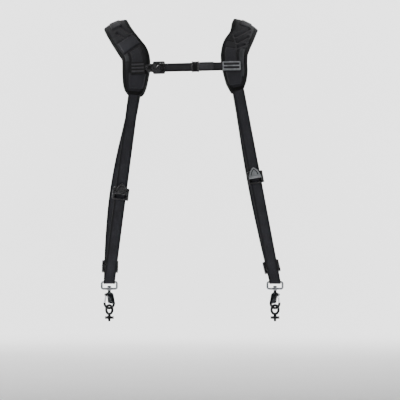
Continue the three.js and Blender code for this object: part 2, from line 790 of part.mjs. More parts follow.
for (const [name, side] of Object.entries(sides)) {
  const frame = frames[name];
  const lowerColumns = side.sign < 0
    ? columnsBetween(-lowerPanel.outer, lowerPanel.inner)
    : columnsBetween(-lowerPanel.inner, lowerPanel.outer);
  const crestColumns = columnsBetween(-crestBand.side, crestBand.side);
  const railColumns = columnsOfBand(side.railShift, slingWidth);

  named(`${name}_shoulder_pad`, pad(frame), finish.padding);
  named(`${name}_pad_rail`, padPanel(frame, rail, railColumns), finish.webbing);
  named(`${name}_lower_panel`, padPanel(frame, lowerPanel, lowerColumns), finish.panel);
  named(`${name}_crest_band`, padPanel(frame, crestBand, crestColumns), finish.webbing);

  const path = slingPath(name, frame);
  const across = new THREE.Vector3(1, 0, 0);
  const alongs = directions(path.points);
  alongs[0] = frame.rings[0].along.clone().negate();
  alongs[alongs.length - 1] = frame.rings[padRings - 1].along;
  const sling = ribbon(path.points, across, slingWidth, slingThickness, alongs);
  named(`${name}_sling_webbing`, sling, finish.webbing);
  const frontPivotUp = path.front[2].distanceTo(path.front[3]) / 2;
  camLock(`${name}_front`, path.front[3], path.front[2], frontPivotUp, 1);
  camLock(`${name}_rear`, path.rear[0], path.rear[1], lockBelowPivot + lockMargin, -1);

  const eye = new THREE.Group();
  eye.position.copy(path.eye);
  harness.add(eye);
  named(`${name}_hook_eye`, hookEye(), finish.metal, eye);
  const hook = new THREE.Group();
  hook.rotation.z = THREE.MathUtils.degToRad(side.hookYaw);
  eye.add(hook);
  named(`${name}_hook_body`, hookBody(), finish.darkMetal, hook);
  named(`${name}_hook_gate`, hookGate(), finish.metal, hook);
  const ring = new THREE.Group();
  ring.rotation.z = THREE.MathUtils.degToRad(side.ringYaw);
  hook.add(ring);
  named(`${name}_ring_bolt`, ringBolt(), finish.darkMetal, ring);
  named(`${name}_ring_washer`, ringWasher(), finish.rubber, ring);

  const row = frame.row(side.sliderShare);
  const column = side.railShift / frame.rings[row].half;
  sliders[name] = {
    seat: frame.surface(row, column, sewnFit + panelThickness + fit),
    out: frame.rings[row].out,
  };
}
const labelColumns = columnsBetween(-labelBand.side, labelBand.side);
named('label_band', padPanel(frames.left, labelBand, labelColumns), finish.panel);

// The chest line runs from the left slider to the right one, with y pointing into the chest
const chestLine = sliders.right.seat.clone().sub(sliders.left.seat);
const chestSpan = chestLine.length();
const alongChest = chestLine.clone().normalize();
for (const [name, side] of Object.entries(sides)) {
  const { seat, out } = sliders[name];
  const x = alongChest.clone().addScaledVector(out, -alongChest.dot(out)).normalize();
  const group = placed(seat, x, out.clone().negate(), out.clone().cross(x));
  named(`${name}_sternum_slider`, sliderFrame(side.sliderLength, side.sliderWidth), finish.plastic, group);
}
const chestOut = sliders.left.out.clone().add(sliders.right.out);
chestOut.addScaledVector(alongChest, -chestOut.dot(alongChest)).normalize();
const chestOrigin = sliders.left.seat.clone().addScaledVector(chestOut, sliderThickness / 2);
const chest = placed(chestOrigin, alongChest, chestOut.clone().negate(), chestOut.clone().cross(alongChest));

const endFit = 2 * fit;
const socketFrom = sides.left.sliderLength / 2 + endFit;
const plugFrom = socketFrom + socketLength - plugOverlap;
const webFrom = plugFrom + plugLength + fit;
const webTo = chestSpan - sides.right.sliderLength / 2 - endFit;
const keeperMiddle = THREE.MathUtils.lerp(webFrom, webTo, keeperPlace);
const sleeveFrom = keeperMiddle + keeperLength / 2 + fit;
const frontOfWeb = -chestThickness / 2 - fit;

named('buckle_socket', buckleSocket(socketFrom), finish.plastic, chest);
named('buckle_plug', bucklePlug(plugFrom), finish.plastic, chest);
named('chest_webbing', box(webFrom, webTo, -chestThickness / 2, chestThickness / 2,
  -chestWidth / 2, chestWidth / 2), finish.webbing, chest);
named('chest_keeper', keeperLoop(keeperMiddle), finish.plastic, chest);
named('chest_sleeve', box(sleeveFrom, sleeveFrom + sleeveLength, frontOfWeb - chestThickness, frontOfWeb,
  -sleeveWidth / 2, sleeveWidth / 2), finish.webbing, chest);

// The back strap lies on the rear of both pads, halfway between two rings, and bows out between them
const backRow = frames.left.row(backStrapShare);
const overPad = sewnFit + slingThickness / 2;
const onRear = (frame, column) =>
  frame.surface(backRow, column, overPad).lerp(frame.surface(backRow + 1, column, overPad), 0.5);
const backEnds = [
  onRear(frames.left, -0.1),
  onRear(frames.left, 0.3),
  onRear(frames.right, -0.3),
  onRear(frames.right, 0.1),
];
const backMiddle = [0.2, 0.4, 0.6, 0.8].map((share) =>
  backEnds[1].clone().lerp(backEnds[2], share)
    .add(new THREE.Vector3(0, backStrapBow * Math.sin(Math.PI * share), 0)));
const backAcross = frames.left.rings[backRow].along.clone().add(frames.right.rings[backRow].along);
named('back_strap', ribbon(
  [backEnds[0], backEnds[1], ...backMiddle, backEnds[2], backEnds[3]],
  backAcross.normalize(),
  backStrapWidth,
  slingThickness,
), finish.webbing);

export default harness;
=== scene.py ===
"""Dressed model of a dual camera harness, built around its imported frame.

Lengths are in millimetres up to the point where a mesh is made, and in metres from there on.
X runs across the shoulders, the chest side faces -Y and +Z is up.
"""
import logging
import math
from dataclasses import dataclass, field
from enum import Enum
from functools import cached_property
from typing import Callable, Optional, Sequence

import bmesh
import bpy
import numpy as np
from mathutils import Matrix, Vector


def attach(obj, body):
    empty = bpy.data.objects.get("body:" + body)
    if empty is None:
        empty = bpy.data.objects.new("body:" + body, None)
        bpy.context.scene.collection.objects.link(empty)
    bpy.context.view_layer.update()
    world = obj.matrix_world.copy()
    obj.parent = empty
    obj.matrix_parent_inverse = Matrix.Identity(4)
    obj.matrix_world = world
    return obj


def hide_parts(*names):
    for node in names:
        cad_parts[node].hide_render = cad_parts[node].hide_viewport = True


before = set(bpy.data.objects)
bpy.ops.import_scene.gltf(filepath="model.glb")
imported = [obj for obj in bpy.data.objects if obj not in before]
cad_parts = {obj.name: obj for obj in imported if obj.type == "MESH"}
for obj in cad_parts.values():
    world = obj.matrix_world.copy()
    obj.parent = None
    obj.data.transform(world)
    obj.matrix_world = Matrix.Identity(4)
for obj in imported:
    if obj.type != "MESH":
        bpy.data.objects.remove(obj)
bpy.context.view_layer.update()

MM = 0.001
Array = np.ndarray
Node, Socket, Tree = bpy.types.Node, bpy.types.NodeSocket, bpy.types.NodeTree
Object, Mesh, Material = bpy.types.Object, bpy.types.Mesh, bpy.types.Material
log = logging.getLogger("harness")


class Side(Enum):
    """A side of the harness as seen from the chest; the value is the sign of its X."""

    LEFT = -1
    RIGHT = 1

    @property
    def label(self) -> str:
        """The side's prefix in names of nodes and pieces."""
        return self.name.lower()


# Lines, frames and surfaces as whole arrays


def unit(vectors: Array) -> Array:
    """Scale each vector to length one."""
    return vectors / np.linalg.norm(vectors, axis=-1, keepdims=True)


def square_to(vectors: Array, along: Array) -> Array:
    """Take each vector's part at right angles to `along`, at length one."""
    return unit(vectors - (vectors * along).sum(-1, keepdims=True) * along)


def spline(knots: Array, share: Array) -> Array:
    """Points on a centripetal spline through the knots.

    Between two knots the line is a cubic with the knots' tangents, each worked out from the
    neighbouring knots with the square root of their distances as time steps.

    Args:
        knots: one row for each knot.
        share: places on the line, from 0 at the first knot to 1 at the last.

    Returns:
        One row for each place.
    """
    wide = np.vstack([2 * knots[0] - knots[1], knots, 2 * knots[-1] - knots[-2]])
    spans = len(knots) - 1
    index = np.clip(np.floor(share * spans), 0, spans - 1).astype(int)
    w = (share * spans - index)[:, None]
    a, b, c, d = (wide[index + k] for k in range(4))
    before, here, after = (
        np.sqrt(np.maximum(np.linalg.norm(q - p, axis=1), 1e-9))[:, None]
        for p, q in ((a, b), (b, c), (c, d))
    )
    start = ((b - a) / before - (c - a) / (before + here) + (c - b) / here) * here
    end = ((c - b) / here - (d - b) / (here + after) + (d - c) / after) * here
    cubic = (2 * b - 2 * c + start + end) * w**3 + (3 * c - 3 * b - 2 * start - end) * w**2
    return cubic + start * w + b


def run_lengths(points: Array) -> Array:
    """Distance of each point from the first, added up along the line of points."""
    return np.concatenate([[0.0], np.cumsum(np.linalg.norm(np.diff(points, axis=0), axis=1))])


def even_shares(knots: Array, count: int) -> Array:
    """Shares of the spline through the knots at which `count` points lie evenly spaced.

    Args:
        knots: one row for each knot.
        count: number of points.

    Returns:
        The shares, from 0 to 1.
    """
    fine = np.linspace(0, 1, 4001)
    travelled = run_lengths(spline(knots, fine))
    return np.interp(np.linspace(0, travelled[-1], count), travelled, fine)


def tangents(points: Array, looped: bool = False) -> Array:
    """Directions along a line of points, from each point's two neighbours."""
    if looped:
        return unit(np.roll(points, -1, axis=0) - np.roll(points, 1, axis=0))
    return unit(np.gradient(points, axis=0))


def swept(path: Array, side: Array, up: Array, section: Array) -> Array:
    """Carry a section along a path.

    A point is the path's point plus the section's first number along `side` and its second
    along `up`.

    Args:
        path: one row for each station.
        side: direction of the section's first axis at each station.
        up: direction of the section's second axis at each station.
        section: points of the section, or one section for each station.

    Returns:
        A grid of points, stations by section points.
    """
    rows = section if section.ndim == 3 else section[None]
    return path[:, None] + side[:, None] * rows[..., :1] + up[:, None] * rows[..., 1:2]


def circle(radius: float, count: int) -> Array:
    """Points of a circle, anticlockwise from its first axis."""
    angle = np.arange(count) * 2 * np.pi / count
    return radius * np.stack([np.cos(angle), np.sin(angle)], axis=1)


def flat_section(width: float, thickness: float, flats: int = 12, turns: int = 5) -> Array:
    """Outline of a flat band with round edges, anticlockwise from the lower left.

    Args:
        width: whole width of the band.
        thickness: whole thickness, which is also the diameter of the edges.
        flats: points on each face.
        turns: points on each edge.

    Returns:
        One row for each point.
    """
    radius = thickness / 2
    reach = width / 2 - radius
    x = np.linspace(-reach, reach, flats)
    angle = np.linspace(-np.pi / 2, np.pi / 2, turns + 2)[1:-1]
    edge = np.stack([reach + radius * np.cos(angle), radius * np.sin(angle)], axis=1)
    low = np.stack([x, np.full(flats, -radius)], axis=1)
    return np.vstack([low, edge, -low, -edge])


def turned(outline: Array, count: int, ripple: Optional[Array] = None) -> Array:
    """Turn an outline of (radius, height) rows about Z.

    Args:
        outline: one row for each ring.
        count: points round each ring.
        ripple: added to the radius, rings by points.

    Returns:
        A grid of points, rings by points.
    """
    angle = np.arange(count) * 2 * np.pi / count
    radius = outline[:, :1] + (0 if ripple is None else ripple)
    height = np.broadcast_to(outline[:, 1:], (len(outline), count))
    return np.stack([radius * np.cos(angle), radius * np.sin(angle), height], axis=-1)


def arc(x: float, z: float, radius: float, start: float, stop: float, count: int) -> Array:
    """Points of an arc in the XZ plane, between two angles in degrees.

    Args:
        x: X of its middle.
        z: Z of its middle.
        radius: its radius.
        start: angle of the first point.
        stop: angle of the last point.
        count: number of points.

    Returns:
        One row for each point.
    """
    angle = np.radians(np.linspace(start, stop, count))
    flat = np.zeros(count)
    return np.stack([x + radius * np.cos(angle), flat, z + radius * np.sin(angle)], axis=1)


@dataclass(frozen=True)
class Place:
    """A piece's own axes in the harness: rows of `axes` are its X, Y and Z."""

    origin: Array
    axes: Array

    def out(self, points: Array) -> Array:
        """Points given in the piece's own axes, in those of the harness."""
        return self.origin + points @ self.axes

    def turned_about_z(self, degrees: float) -> "Place":
        """The same place turned about its own Z."""
        c, s = math.cos(math.radians(degrees)), math.sin(math.radians(degrees))
        return Place(self.origin, np.array([[c, s, 0], [-s, c, 0], [0, 0, 1]]) @ self.axes)

    def laid_flat(self) -> "Place":
        """The place with its Y axis as Z, so that plates lie in it."""
        return Place(self.origin, np.stack([self.axes[0], -self.axes[2], self.axes[1]]))


HERE = Place(np.zeros(3), np.eye(3))


@dataclass
class Shell:
    """Faces of one piece, gathered in millimetres before its mesh is made."""

    points: list[Array] = field(default_factory=list)
    faces: list[list[int]] = field(default_factory=list)
    corners: list[Array] = field(default_factory=list)
    parts: list[int] = field(default_factory=list)
    total: int = 0

    def grid(
        self,
        grid: Array,
        along: Optional[Array] = None,
        around: Optional[Array] = None,
        looped: bool = False,
        part: int = 0,
        place: Place = HERE,
    ) -> "Shell":
        """Add a tube of quads whose columns close up, with its two ends closed.

        Args:
            grid: points, rings by points round a ring.
            along: distance of each ring along the tube, for the UV map.
            around: distance of each point round a ring, for the UV map.
            looped: whether the last ring joins the first, instead of two closed ends.
            part: number of the material for these faces.
            place: the axes in which the points are given.

        Returns:
            The shell itself.
        """
        rings, count = grid.shape[:2]
        along = run_lengths(grid.mean(axis=1)) if along is None else along
        if around is None:
            around = run_lengths(np.vstack([grid[0], grid[0][:1]]))
        elif len(around) == count:
            around = np.append(around, around[0])
        if looped and len(along) == rings:
            along = np.append(along, along[-1] + np.linalg.norm(grid[0].mean(0) - grid[-1].mean(0)))
        rows = np.arange(rings if looped else rings - 1)[:, None]
        columns = np.arange(count)[None]
        turns = ((0, 0), (1, 0), (1, 1), (0, 1))
        quads = np.stack([
            self.total + (rows + up) % rings * count + (columns + over) % count for over, up in turns
        ], axis=-1).reshape(-1, 4)
        corner = np.stack([
            np.stack(np.broadcast_arrays(around[columns + over], along[rows + up]), axis=-1)
            for over, up in turns
        ], axis=2).reshape(-1, 2)
        first = self.total
        self.points.append(place.out(grid.reshape(-1, 3)))
        self.faces += quads.tolist()
        self.corners.append(corner)
        self.parts += [part] * len(quads)
        self.total += rings * count
        if not looped:
            self._close(grid[0], first, part, place)
            self._close(grid[-1], first + (rings - 1) * count, part, place)
        return self

    def _close(self, ring: Array, first: int, part: int, place: Place) -> None:
        """Close a ring with triangles that meet in its middle.

        Args:
            ring: the ring's points.
            first: number of the ring's first point in the shell.
            part: number of the material.
            place: the axes in which the points are given.
        """
        count = len(ring)
        numbers = first + np.arange(count)
        fan = np.stack([numbers, np.roll(numbers, -1), np.full(count, self.total)], axis=-1)
        self.points.append(place.out(ring.mean(axis=0)[None]))
        self.faces += fan.tolist()
        self.corners.append(np.zeros((3 * count, 2)))
        self.parts += [part] * count
        self.total += 1

    def piece(
        self, name: str, materials: Sequence[Material], smooth: float = 40
    ) -> Object:
        """Make the mesh and its object.

        Args:
            name: name of the piece.
            materials: one for each part number in use.
            smooth: faces that meet at less than this many degrees are shaded as one surface.

        Returns:
            The object, with a UV map in metres.
        """
        mesh = bpy.data.meshes.new(name)
        mesh.from_pydata((np.vstack(self.points) * MM).tolist(), [], self.faces)
        layer = mesh.uv_layers.new(name="Run")
        layer.uv.foreach_set("vector", (np.vstack(self.corners) * MM).astype(np.float32).ravel())
        for material in materials:
            mesh.materials.append(material)
        mesh.polygons.foreach_set("material_index", np.array(self.parts, dtype=np.int32))
        body = bmesh.new()
        body.from_mesh(mesh)
        bmesh.ops.recalc_face_normals(body, faces=body.faces)
        body.to_mesh(mesh)
        body.free()
        return shown(name, mesh, smooth)


def shown(name: str, mesh: Mesh, smooth: float = 40) -> Object:
    """Put a mesh in the scene, shaded smooth except at edges sharper than `smooth` degrees.

    Args:
        name: name of the object.
        mesh: its mesh.
        smooth: the angle.

    Returns:
        The object.
    """
    mesh.validate()
    mesh.shade_smooth()
    mesh.set_sharp_from_angle(angle=math.radians(smooth))
    piece = bpy.data.objects.new(name, mesh)
    bpy.context.collection.objects.link(piece)
    return piece


def evaluated(piece: Object) -> Mesh:
    """The piece's mesh with its modifiers applied, as a new mesh."""
    graph = bpy.context.evaluated_depsgraph_get()
    return bpy.data.meshes.new_from_object(piece.evaluated_get(graph))


def moulded(
    node: str, name: str, material: Material, round_off: float, segments: int = 3, angle: float = 30
) -> Object:
    """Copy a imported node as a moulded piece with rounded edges.

    The copy's corners are merged, its flat faces joined, and each edge sharper than `angle`
    is rounded.

    Args:
        node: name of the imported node.
        name: name of the new piece.
        material: its material.
        round_off: width of the rounding.
        segments: faces across the rounding.
        angle: the smallest edge angle that is rounded, in degrees.

    Returns:
        The new piece.
    """
    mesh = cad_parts[node].data.copy()
    mesh.materials.clear()
    mesh.materials.append(material)
    body = bmesh.new()
    body.from_mesh(mesh)
    bmesh.ops.remove_doubles(body, verts=body.verts, dist=0.00001)
    limit = math.radians(1.5)
    bmesh.ops.dissolve_limit(body, angle_limit=limit, verts=body.verts, edges=body.edges)
    body.to_mesh(mesh)
    body.free()
    piece = shown(name, mesh)
    bevel = piece.modifiers.new("Rounding", "BEVEL")
    bevel.width, bevel.segments, bevel.harden_normals = round_off * MM, segments, False
    bevel.limit_method, bevel.angle_limit = "ANGLE", math.radians(angle)
    piece.data = evened(piece)
    return piece


def settled(piece: Object, body: str, slot: str, *nodes: str) -> Object:
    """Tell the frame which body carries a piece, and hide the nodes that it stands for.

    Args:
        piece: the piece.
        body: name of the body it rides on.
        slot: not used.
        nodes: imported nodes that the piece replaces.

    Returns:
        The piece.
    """
    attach(piece, body)
    if nodes:
        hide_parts(*nodes)
    log.info("%s rides on %s, %d faces", piece.name, body, len(piece.data.polygons))
    return piece


# Shader helpers


def linear(shade: str) -> tuple[float, float, float, float]:
    """A colour written as six hexadecimal digits, as linear light with full alpha.

    Args:
        shade: the six digits.

    Returns:
        Red, green, blue and alpha.
    """
    parts = [int(shade[k:k + 2], 16) / 255 for k in (0, 2, 4)]
    red, green, blue = (p / 12.92 if p <= 0.04045 else ((p + 0.055) / 1.055) ** 2.4 for p in parts)
    return (red, green, blue, 1.0)


class Wiring:
    """Adds nodes to one tree and wires them together."""

    def __init__(self, tree: Tree) -> None:
        """Start on a tree."""
        self.tree = tree

    def node(self, kind: str, inputs: Optional[dict] = None, **settings: object) -> Node:
        """Add a node.

        Args:
            kind: the node's type, without its ShaderNode prefix.
            inputs: sockets or values for its inputs, by name or number.
            settings: the node's own properties.

        Returns:
            The node.
        """
        node = self.tree.nodes.new(kind if kind.startswith("Node") else "ShaderNode" + kind)
        for key, value in settings.items():
            setattr(node, key, value)
        for key, value in (inputs or {}).items():
            if isinstance(value, Socket):
                self.tree.links.new(value, node.inputs[key])
            else:
                node.inputs[key].default_value = value
        return node

    def math(self, operation: str, *values: object) -> Socket:
        """The result of a Math node."""
        return self.node("Math", dict(enumerate(values)), operation=operation).outputs[0]

    def mix(self, share: object, one: object, other: object) -> Socket:
        """A colour between two colours."""
        node = self.node("Mix", {0: share, 6: one, 7: other}, data_type="RGBA")
        return node.outputs[2]

    def noise(
        self, place: object, scale: object, detail: float = 3, rough: float = 0.55
    ) -> Socket:
        """Values of a noise texture, about 0.5 in the middle."""
        values = {"Vector": place, "Scale": scale, "Detail": detail, "Roughness": rough}
        return self.node("TexNoise", values).outputs["Fac"]

    def spread(
        self, value: object, low: float, high: float, to_low: float = 0, to_high: float = 1
    ) -> Socket:
        """A value's range stretched to another range and cut off at its ends."""
        values = {0: value, 1: low, 2: high, 3: to_low, 4: to_high}
        return self.node("MapRange", values).outputs[0]

    def stretched(self, place: object, x: float, y: float, z: float = 1) -> Socket:
        """A place scaled along each axis."""
        return self.node("Mapping", {"Vector": place, "Scale": (x, y, z)}).outputs[0]


def shader_group(
    name: str,
    inputs: dict[str, tuple[str, float]],
    outputs: Sequence[str],
    fill: Callable[[Wiring, Node, Node], None],
) -> Tree:
    """A node group, made the first time that it is asked for.

    Args:
        name: name of the group.
        inputs: kind and default of each input, by name.
        outputs: names of the outputs, which are all values.
        fill: adds the group's nodes, given its wiring and its input and output nodes.

    Returns:
        The group.
    """
    if name in bpy.data.node_groups:
        return bpy.data.node_groups[name]
    tree = bpy.data.node_groups.new(name, "ShaderNodeTree")
    for label, (kind, default) in inputs.items():
        socket = tree.interface.new_socket(label, in_out="INPUT", socket_type="NodeSocket" + kind)
        if kind == "Float":
            socket.default_value = default
    for label in outputs:
        tree.interface.new_socket(label, in_out="OUTPUT", socket_type="NodeSocketFloat")
    wiring = Wiring(tree)
    fill(wiring, wiring.node("NodeGroupInput"), wiring.node("NodeGroupOutput"))
    return tree


def weave_group() -> Tree:
    """Plain weave: a yarn is a half sine wave across its pitch, and the yarns take turns on top.

    Place is in metres. Height runs from 0 between the yarns to 1 on top of one, and Tone differs
    from yarn to yarn.
    """

    def fill(w: Wiring, given: Node, result: Node) -> None:
        """Add the group's nodes."""
        flat = w.node("SeparateXYZ", {0: given.outputs["Place"]})
        x = w.math("DIVIDE", flat.outputs[0], given.outputs["Warp"])
        y = w.math("DIVIDE", flat.outputs[1], given.outputs["Weft"])
        warp = w.math("ABSOLUTE", w.math("SINE", w.math("MULTIPLY", x, math.pi)))
        weft = w.math("ABSOLUTE", w.math("SINE", w.math("MULTIPLY", y, math.pi)))
        cell = w.node("CombineXYZ", {0: w.math("FLOOR", x), 1: w.math("FLOOR", y)}).outputs[0]
        turn = w.math("FLOORED_MODULO", w.math("ADD", w.math("FLOOR", x), w.math("FLOOR", y)), 2.0)
        over = w.math("MULTIPLY", warp, w.spread(weft, 0, 1, 0.55, 1))
        under = w.math("MULTIPLY", weft, w.spread(warp, 0, 1, 0.55, 1))
        level = w.node("Mix", {0: turn, 2: over, 3: under}, data_type="FLOAT").outputs[0]
        tone = w.node("TexWhiteNoise", {"Vector": cell}, noise_dimensions="2D").outputs["Value"]
        w.tree.links.new(w.math("POWER", level, 0.6), result.inputs["Height"])
        w.tree.links.new(tone, result.inputs["Tone"])

    inputs = {"Place": ("Vector", 0), "Warp": ("Float", 0.001), "Weft": ("Float", 0.001)}
    return shader_group("Weave", inputs, ("Height", "Tone"), fill)


def grain_group() -> Tree:
    """Fine grain over slow unevenness: noise at the given scale and at a fortieth of it."""

    def fill(w: Wiring, given: Node, result: Node) -> None:
        """Add the group's nodes."""
        place, scale = given.outputs["Place"], given.outputs["Scale"]
        slow = w.noise(place, w.math("DIVIDE", scale, 40.0), 4, 0.6)
        fine = w.noise(place, scale, 2, 0.5)
        w.tree.links.new(fine, result.inputs["Height"])
        w.tree.links.new(w.spread(slow, 0.3, 0.7), result.inputs["Tone"])

    inputs = {"Place": ("Vector", 0), "Scale": ("Float", 1000)}
    return shader_group("Grain", inputs, ("Height", "Tone"), fill)


def wear_group() -> Tree:
    """Rubbed edges: where the surface is convex, broken up by noise."""

    def fill(w: Wiring, given: Node, result: Node) -> None:
        """Add the group's nodes."""
        convex = w.node("NewGeometry").outputs["Pointiness"]
        edge = w.spread(convex, 0.505, 0.56)
        broken = w.spread(w.noise(given.outputs["Place"], given.outputs["Scale"], 5, 0.65), 0.42, 0.62)
        mask = w.math("MULTIPLY", w.math("MULTIPLY", edge, broken), given.outputs["Amount"])
        w.tree.links.new(mask, result.inputs["Mask"])

    inputs = {"Place": ("Vector", 0), "Scale": ("Float", 220), "Amount": ("Float", 1)}
    return shader_group("Edge wear", inputs, ("Mask",), fill)


def dust_group() -> Tree:
    """Lint and dust: small sparse specks and a thin film where the surface faces up."""

    def fill(w: Wiring, given: Node, result: Node) -> None:
        """Add the group's nodes."""
        upward = w.node("SeparateXYZ", {0: w.node("NewGeometry").outputs["Normal"]}).outputs[2]
        film = w.math("MULTIPLY", w.spread(upward, 0.1, 1.0), w.noise(given.outputs["Place"], 60.0, 5, 0.7))
        specks = w.spread(w.noise(given.outputs["Place"], 1400.0, 1, 0.4), 0.74, 0.8)
        mask = w.math("ADD", w.math("MULTIPLY", film, 0.09), w.math("MULTIPLY", specks, 0.4))
        w.tree.links.new(w.math("MULTIPLY", mask, given.outputs["Amount"]), result.inputs["Mask"])

    inputs = {"Place": ("Vector", 0), "Amount": ("Float", 1)}
    return shader_group("Dust", inputs, ("Mask",), fill)


LINT, DUST, RUBBED = "8a8884", "85837f", "75757a"


@dataclass(frozen=True)
class Finish:
    """A finish with what all of them share: name, colours, roughness and the record's slot."""

    name: str
    slot: str
    shade: str
    light: str
    roughness: float

    def start(self) -> tuple[Material, Wiring, Node]:
        """An empty material with its wiring and its Principled BSDF."""
        material = bpy.data.materials.new(self.name)
        material.use_nodes = True
        material.node_tree.nodes.clear()
        wiring = Wiring(material.node_tree)
        shader = wiring.node("BsdfPrincipled", {"Roughness": self.roughness})
        wiring.node("OutputMaterial", {"Surface": shader.outputs[0]})
        return material, wiring, shader

    def grained(self, w: Wiring, scale: float) -> tuple[Socket, Socket]:
        """Height and tone of a fine grain on the piece."""
        spot = w.node("TexCoord").outputs["Object"]
        grain = w.node("Group", {"Place": spot, "Scale": scale}, node_tree=grain_group())
        return grain.outputs["Height"], grain.outputs["Tone"]

    def covered(
        self, w: Wiring, group: Tree, amount: float, colour: Socket, over: str
    ) -> Socket:
        """Lay another colour over a colour, by the mask of a group.

        Args:
            w: the finish's wiring.
            group: node group whose mask says where the other colour shows.
            amount: how much of the mask shows.
            colour: the colour below.
            over: the other colour, as six hexadecimal digits.

        Returns:
            The mixed colour.
        """
        spot = w.node("TexCoord").outputs["Object"]
        mask = w.node("Group", {"Place": spot, "Amount": amount}, node_tree=group).outputs[0]
        return w.mix(mask, colour, linear(over))

    def wired(
        self, w: Wiring, shader: Node, colour: Socket, rough: Socket, height: Socket,
        strength: float, depth: float,
    ) -> None:
        """Wire colour, roughness and relief into the shader.

        Args:
            w: the finish's wiring.
            shader: its Principled BSDF.
            colour: the base colour.
            rough: the roughness.
            height: the relief, from 0 to 1.
            strength: strength of the relief.
            depth: depth of the relief in metres.
        """
        bump = w.node("Bump", {"Height": height, "Strength": strength, "Distance": depth})
        for name, socket in (("Base Color", colour), ("Roughness", rough), ("Normal", bump.outputs[0])):
            w.tree.links.new(socket, shader.inputs[name])

    @property
    def material(self) -> Material:
        """The material, made the first time that it is asked for."""
        return bpy.data.materials.get(self.name) or self.made()

    def made(self) -> Material:
        """Make the material."""
        raise NotImplementedError


@dataclass(frozen=True)
class Woven(Finish):
    """Cloth or webbing, whose yarns follow the piece's UV map in metres.

    warp and weft are the pitches of the yarns across and along the run. half is half the width
    of a band whose selvedges darken, or 0. depth is the height of the weave.
    """

    warp: float
    weft: float
    depth: float
    sheen: float = 0.05
    half: float = 0.0
    dust: float = 0.5

    def made(self) -> Material:
        """Make the material."""
        material, w, shader = self.start()
        run = w.node("UVMap", uv_map="Run").outputs[0]
        spot = w.node("TexCoord").outputs["Object"]
        pitches = {"Place": run, "Warp": self.warp, "Weft": self.weft}
        weave = w.node("Group", pitches, node_tree=weave_group())
        streak = w.noise(w.stretched(run, 900, 40), 1.0, 3, 0.6)
        cloud = w.noise(spot, 35.0, 4, 0.6)
        height, tone = weave.outputs["Height"], weave.outputs["Tone"]
        # The weave's height darkens the gaps between the yarns as painted shade; tone, streaks and clouds are
        # the cloth's own unevenness.
        lit = w.math("MULTIPLY", w.spread(height, 0.25, 1.0, 0.25, 1.0), w.spread(tone, 0, 1, 0.7, 1.0))
        lit = w.math("MULTIPLY", lit, w.spread(streak, 0.3, 0.7, 0.65, 1.0))
        lit = w.math("MULTIPLY", lit, w.spread(cloud, 0.3, 0.7, 0.6, 1.0))
        if self.half:
            across = w.math("ABSOLUTE", w.node("SeparateXYZ", {0: run}).outputs[0])
            lit = w.math("MULTIPLY", lit, w.spread(across, self.half * 0.55, self.half * 0.85, 1.0, 0.15))
        colour = w.mix(lit, linear(self.shade), linear(self.light))
        colour = self.covered(w, dust_group(), self.dust, colour, LINT)
        rough = w.spread(height, 0, 1, min(1.0, self.roughness + 0.12), self.roughness)
        self.wired(w, shader, colour, rough, height, 0.85, self.depth)
        shader.inputs["Sheen Weight"].default_value = self.sheen
        shader.inputs["Sheen Roughness"].default_value = 0.45
        shader.inputs["Specular IOR Level"].default_value = 0.12
        return material


@dataclass(frozen=True)
class Coated(Finish):
    """Smooth coated cloth, plastic or rubber with a fine grain; wear is the share of rubbed edge."""

    grain: float
    depth: float
    wear: float = 0.0
    dust: float = 0.3
    gloss: float = 0.3

    def made(self) -> Material:
        """Make the material."""
        material, w, shader = self.start()
        height, tone = self.grained(w, self.grain)
        colour = w.mix(tone, linear(self.shade), linear(self.light))
        colour = self.covered(w, wear_group(), self.wear, colour, RUBBED)
        colour = self.covered(w, dust_group(), self.dust, colour, DUST)
        rough = w.spread(tone, 0, 1, self.roughness - 0.06, self.roughness + 0.08)
        self.wired(w, shader, colour, rough, height, 0.6, self.depth)
        shader.inputs["Specular IOR Level"].default_value = self.gloss
        return material


@dataclass(frozen=True)
class Metal(Finish):
    """Metal with a fine tumbled surface; on a dark coating the rubbed edges show bare metal."""

    bare: str
    wear: float

    def made(self) -> Material:
        """Make the material."""
        material, w, shader = self.start()
        height, tone = self.grained(w, 1800.0)
        colour = w.mix(tone, linear(self.shade), linear(self.light))
        colour = self.covered(w, wear_group(), self.wear, colour, self.bare)
        smears = w.noise(w.node("TexCoord").outputs["Object"], 300.0, 4, 0.7)
        rough = w.spread(smears, 0.3, 0.7, self.roughness - 0.08, self.roughness + 0.1)
        self.wired(w, shader, colour, rough, height, 0.35, 0.00004)
        shader.inputs["Metallic"].default_value = 1.0
        return material


PAD_CLOTH = Woven("Pad cloth", "padding", "060607", "29292d", 0.82, 0.0011, 0.0011, 0.00018)
MESH_CLOTH = Woven("Spacer mesh", "padding", "020203", "161619", 0.85, 0.0026, 0.0034, 0.0006, dust=0.3)
RIBBED = Woven("Ribbed cloth", "padding", "101112", "3c3e41", 0.75, 0.0019, 0.0013, 0.0004)
BINDING = Woven(
    "Binding tape", "padding", "010101", "060607", 0.75, 0.0009, 0.0014, 0.0002, sheen=0.0, dust=0.05
)
SLING = Woven("Sling webbing", "webbing", "060607", "333339", 0.68, 0.0017, 0.0012, 0.0003, half=0.0125)
STRAP = Woven("Chest webbing", "webbing", "070708", "313136", 0.66, 0.0015, 0.0011, 0.00025, half=0.009)
# Lighter copy of the chest webbing: painted highlight on the bulging doubled end and on the folds in the left
# slider.
HIGHLIT_STRAP = Woven(
    "Doubled webbing", "webbing", "111112", "47474b", 0.66, 0.0015, 0.0011, 0.00025, half=0.01
)
PANEL = Coated("Panel cloth", "panel", "141417", "242429", 0.66, 900.0, 0.00012, dust=0.3, gloss=0.14)
PLASTIC = Coated(
    "Moulded plastic", "plastic", "030304", "070708", 0.27, 2600.0, 0.00003, wear=0.15, dust=0.08
)
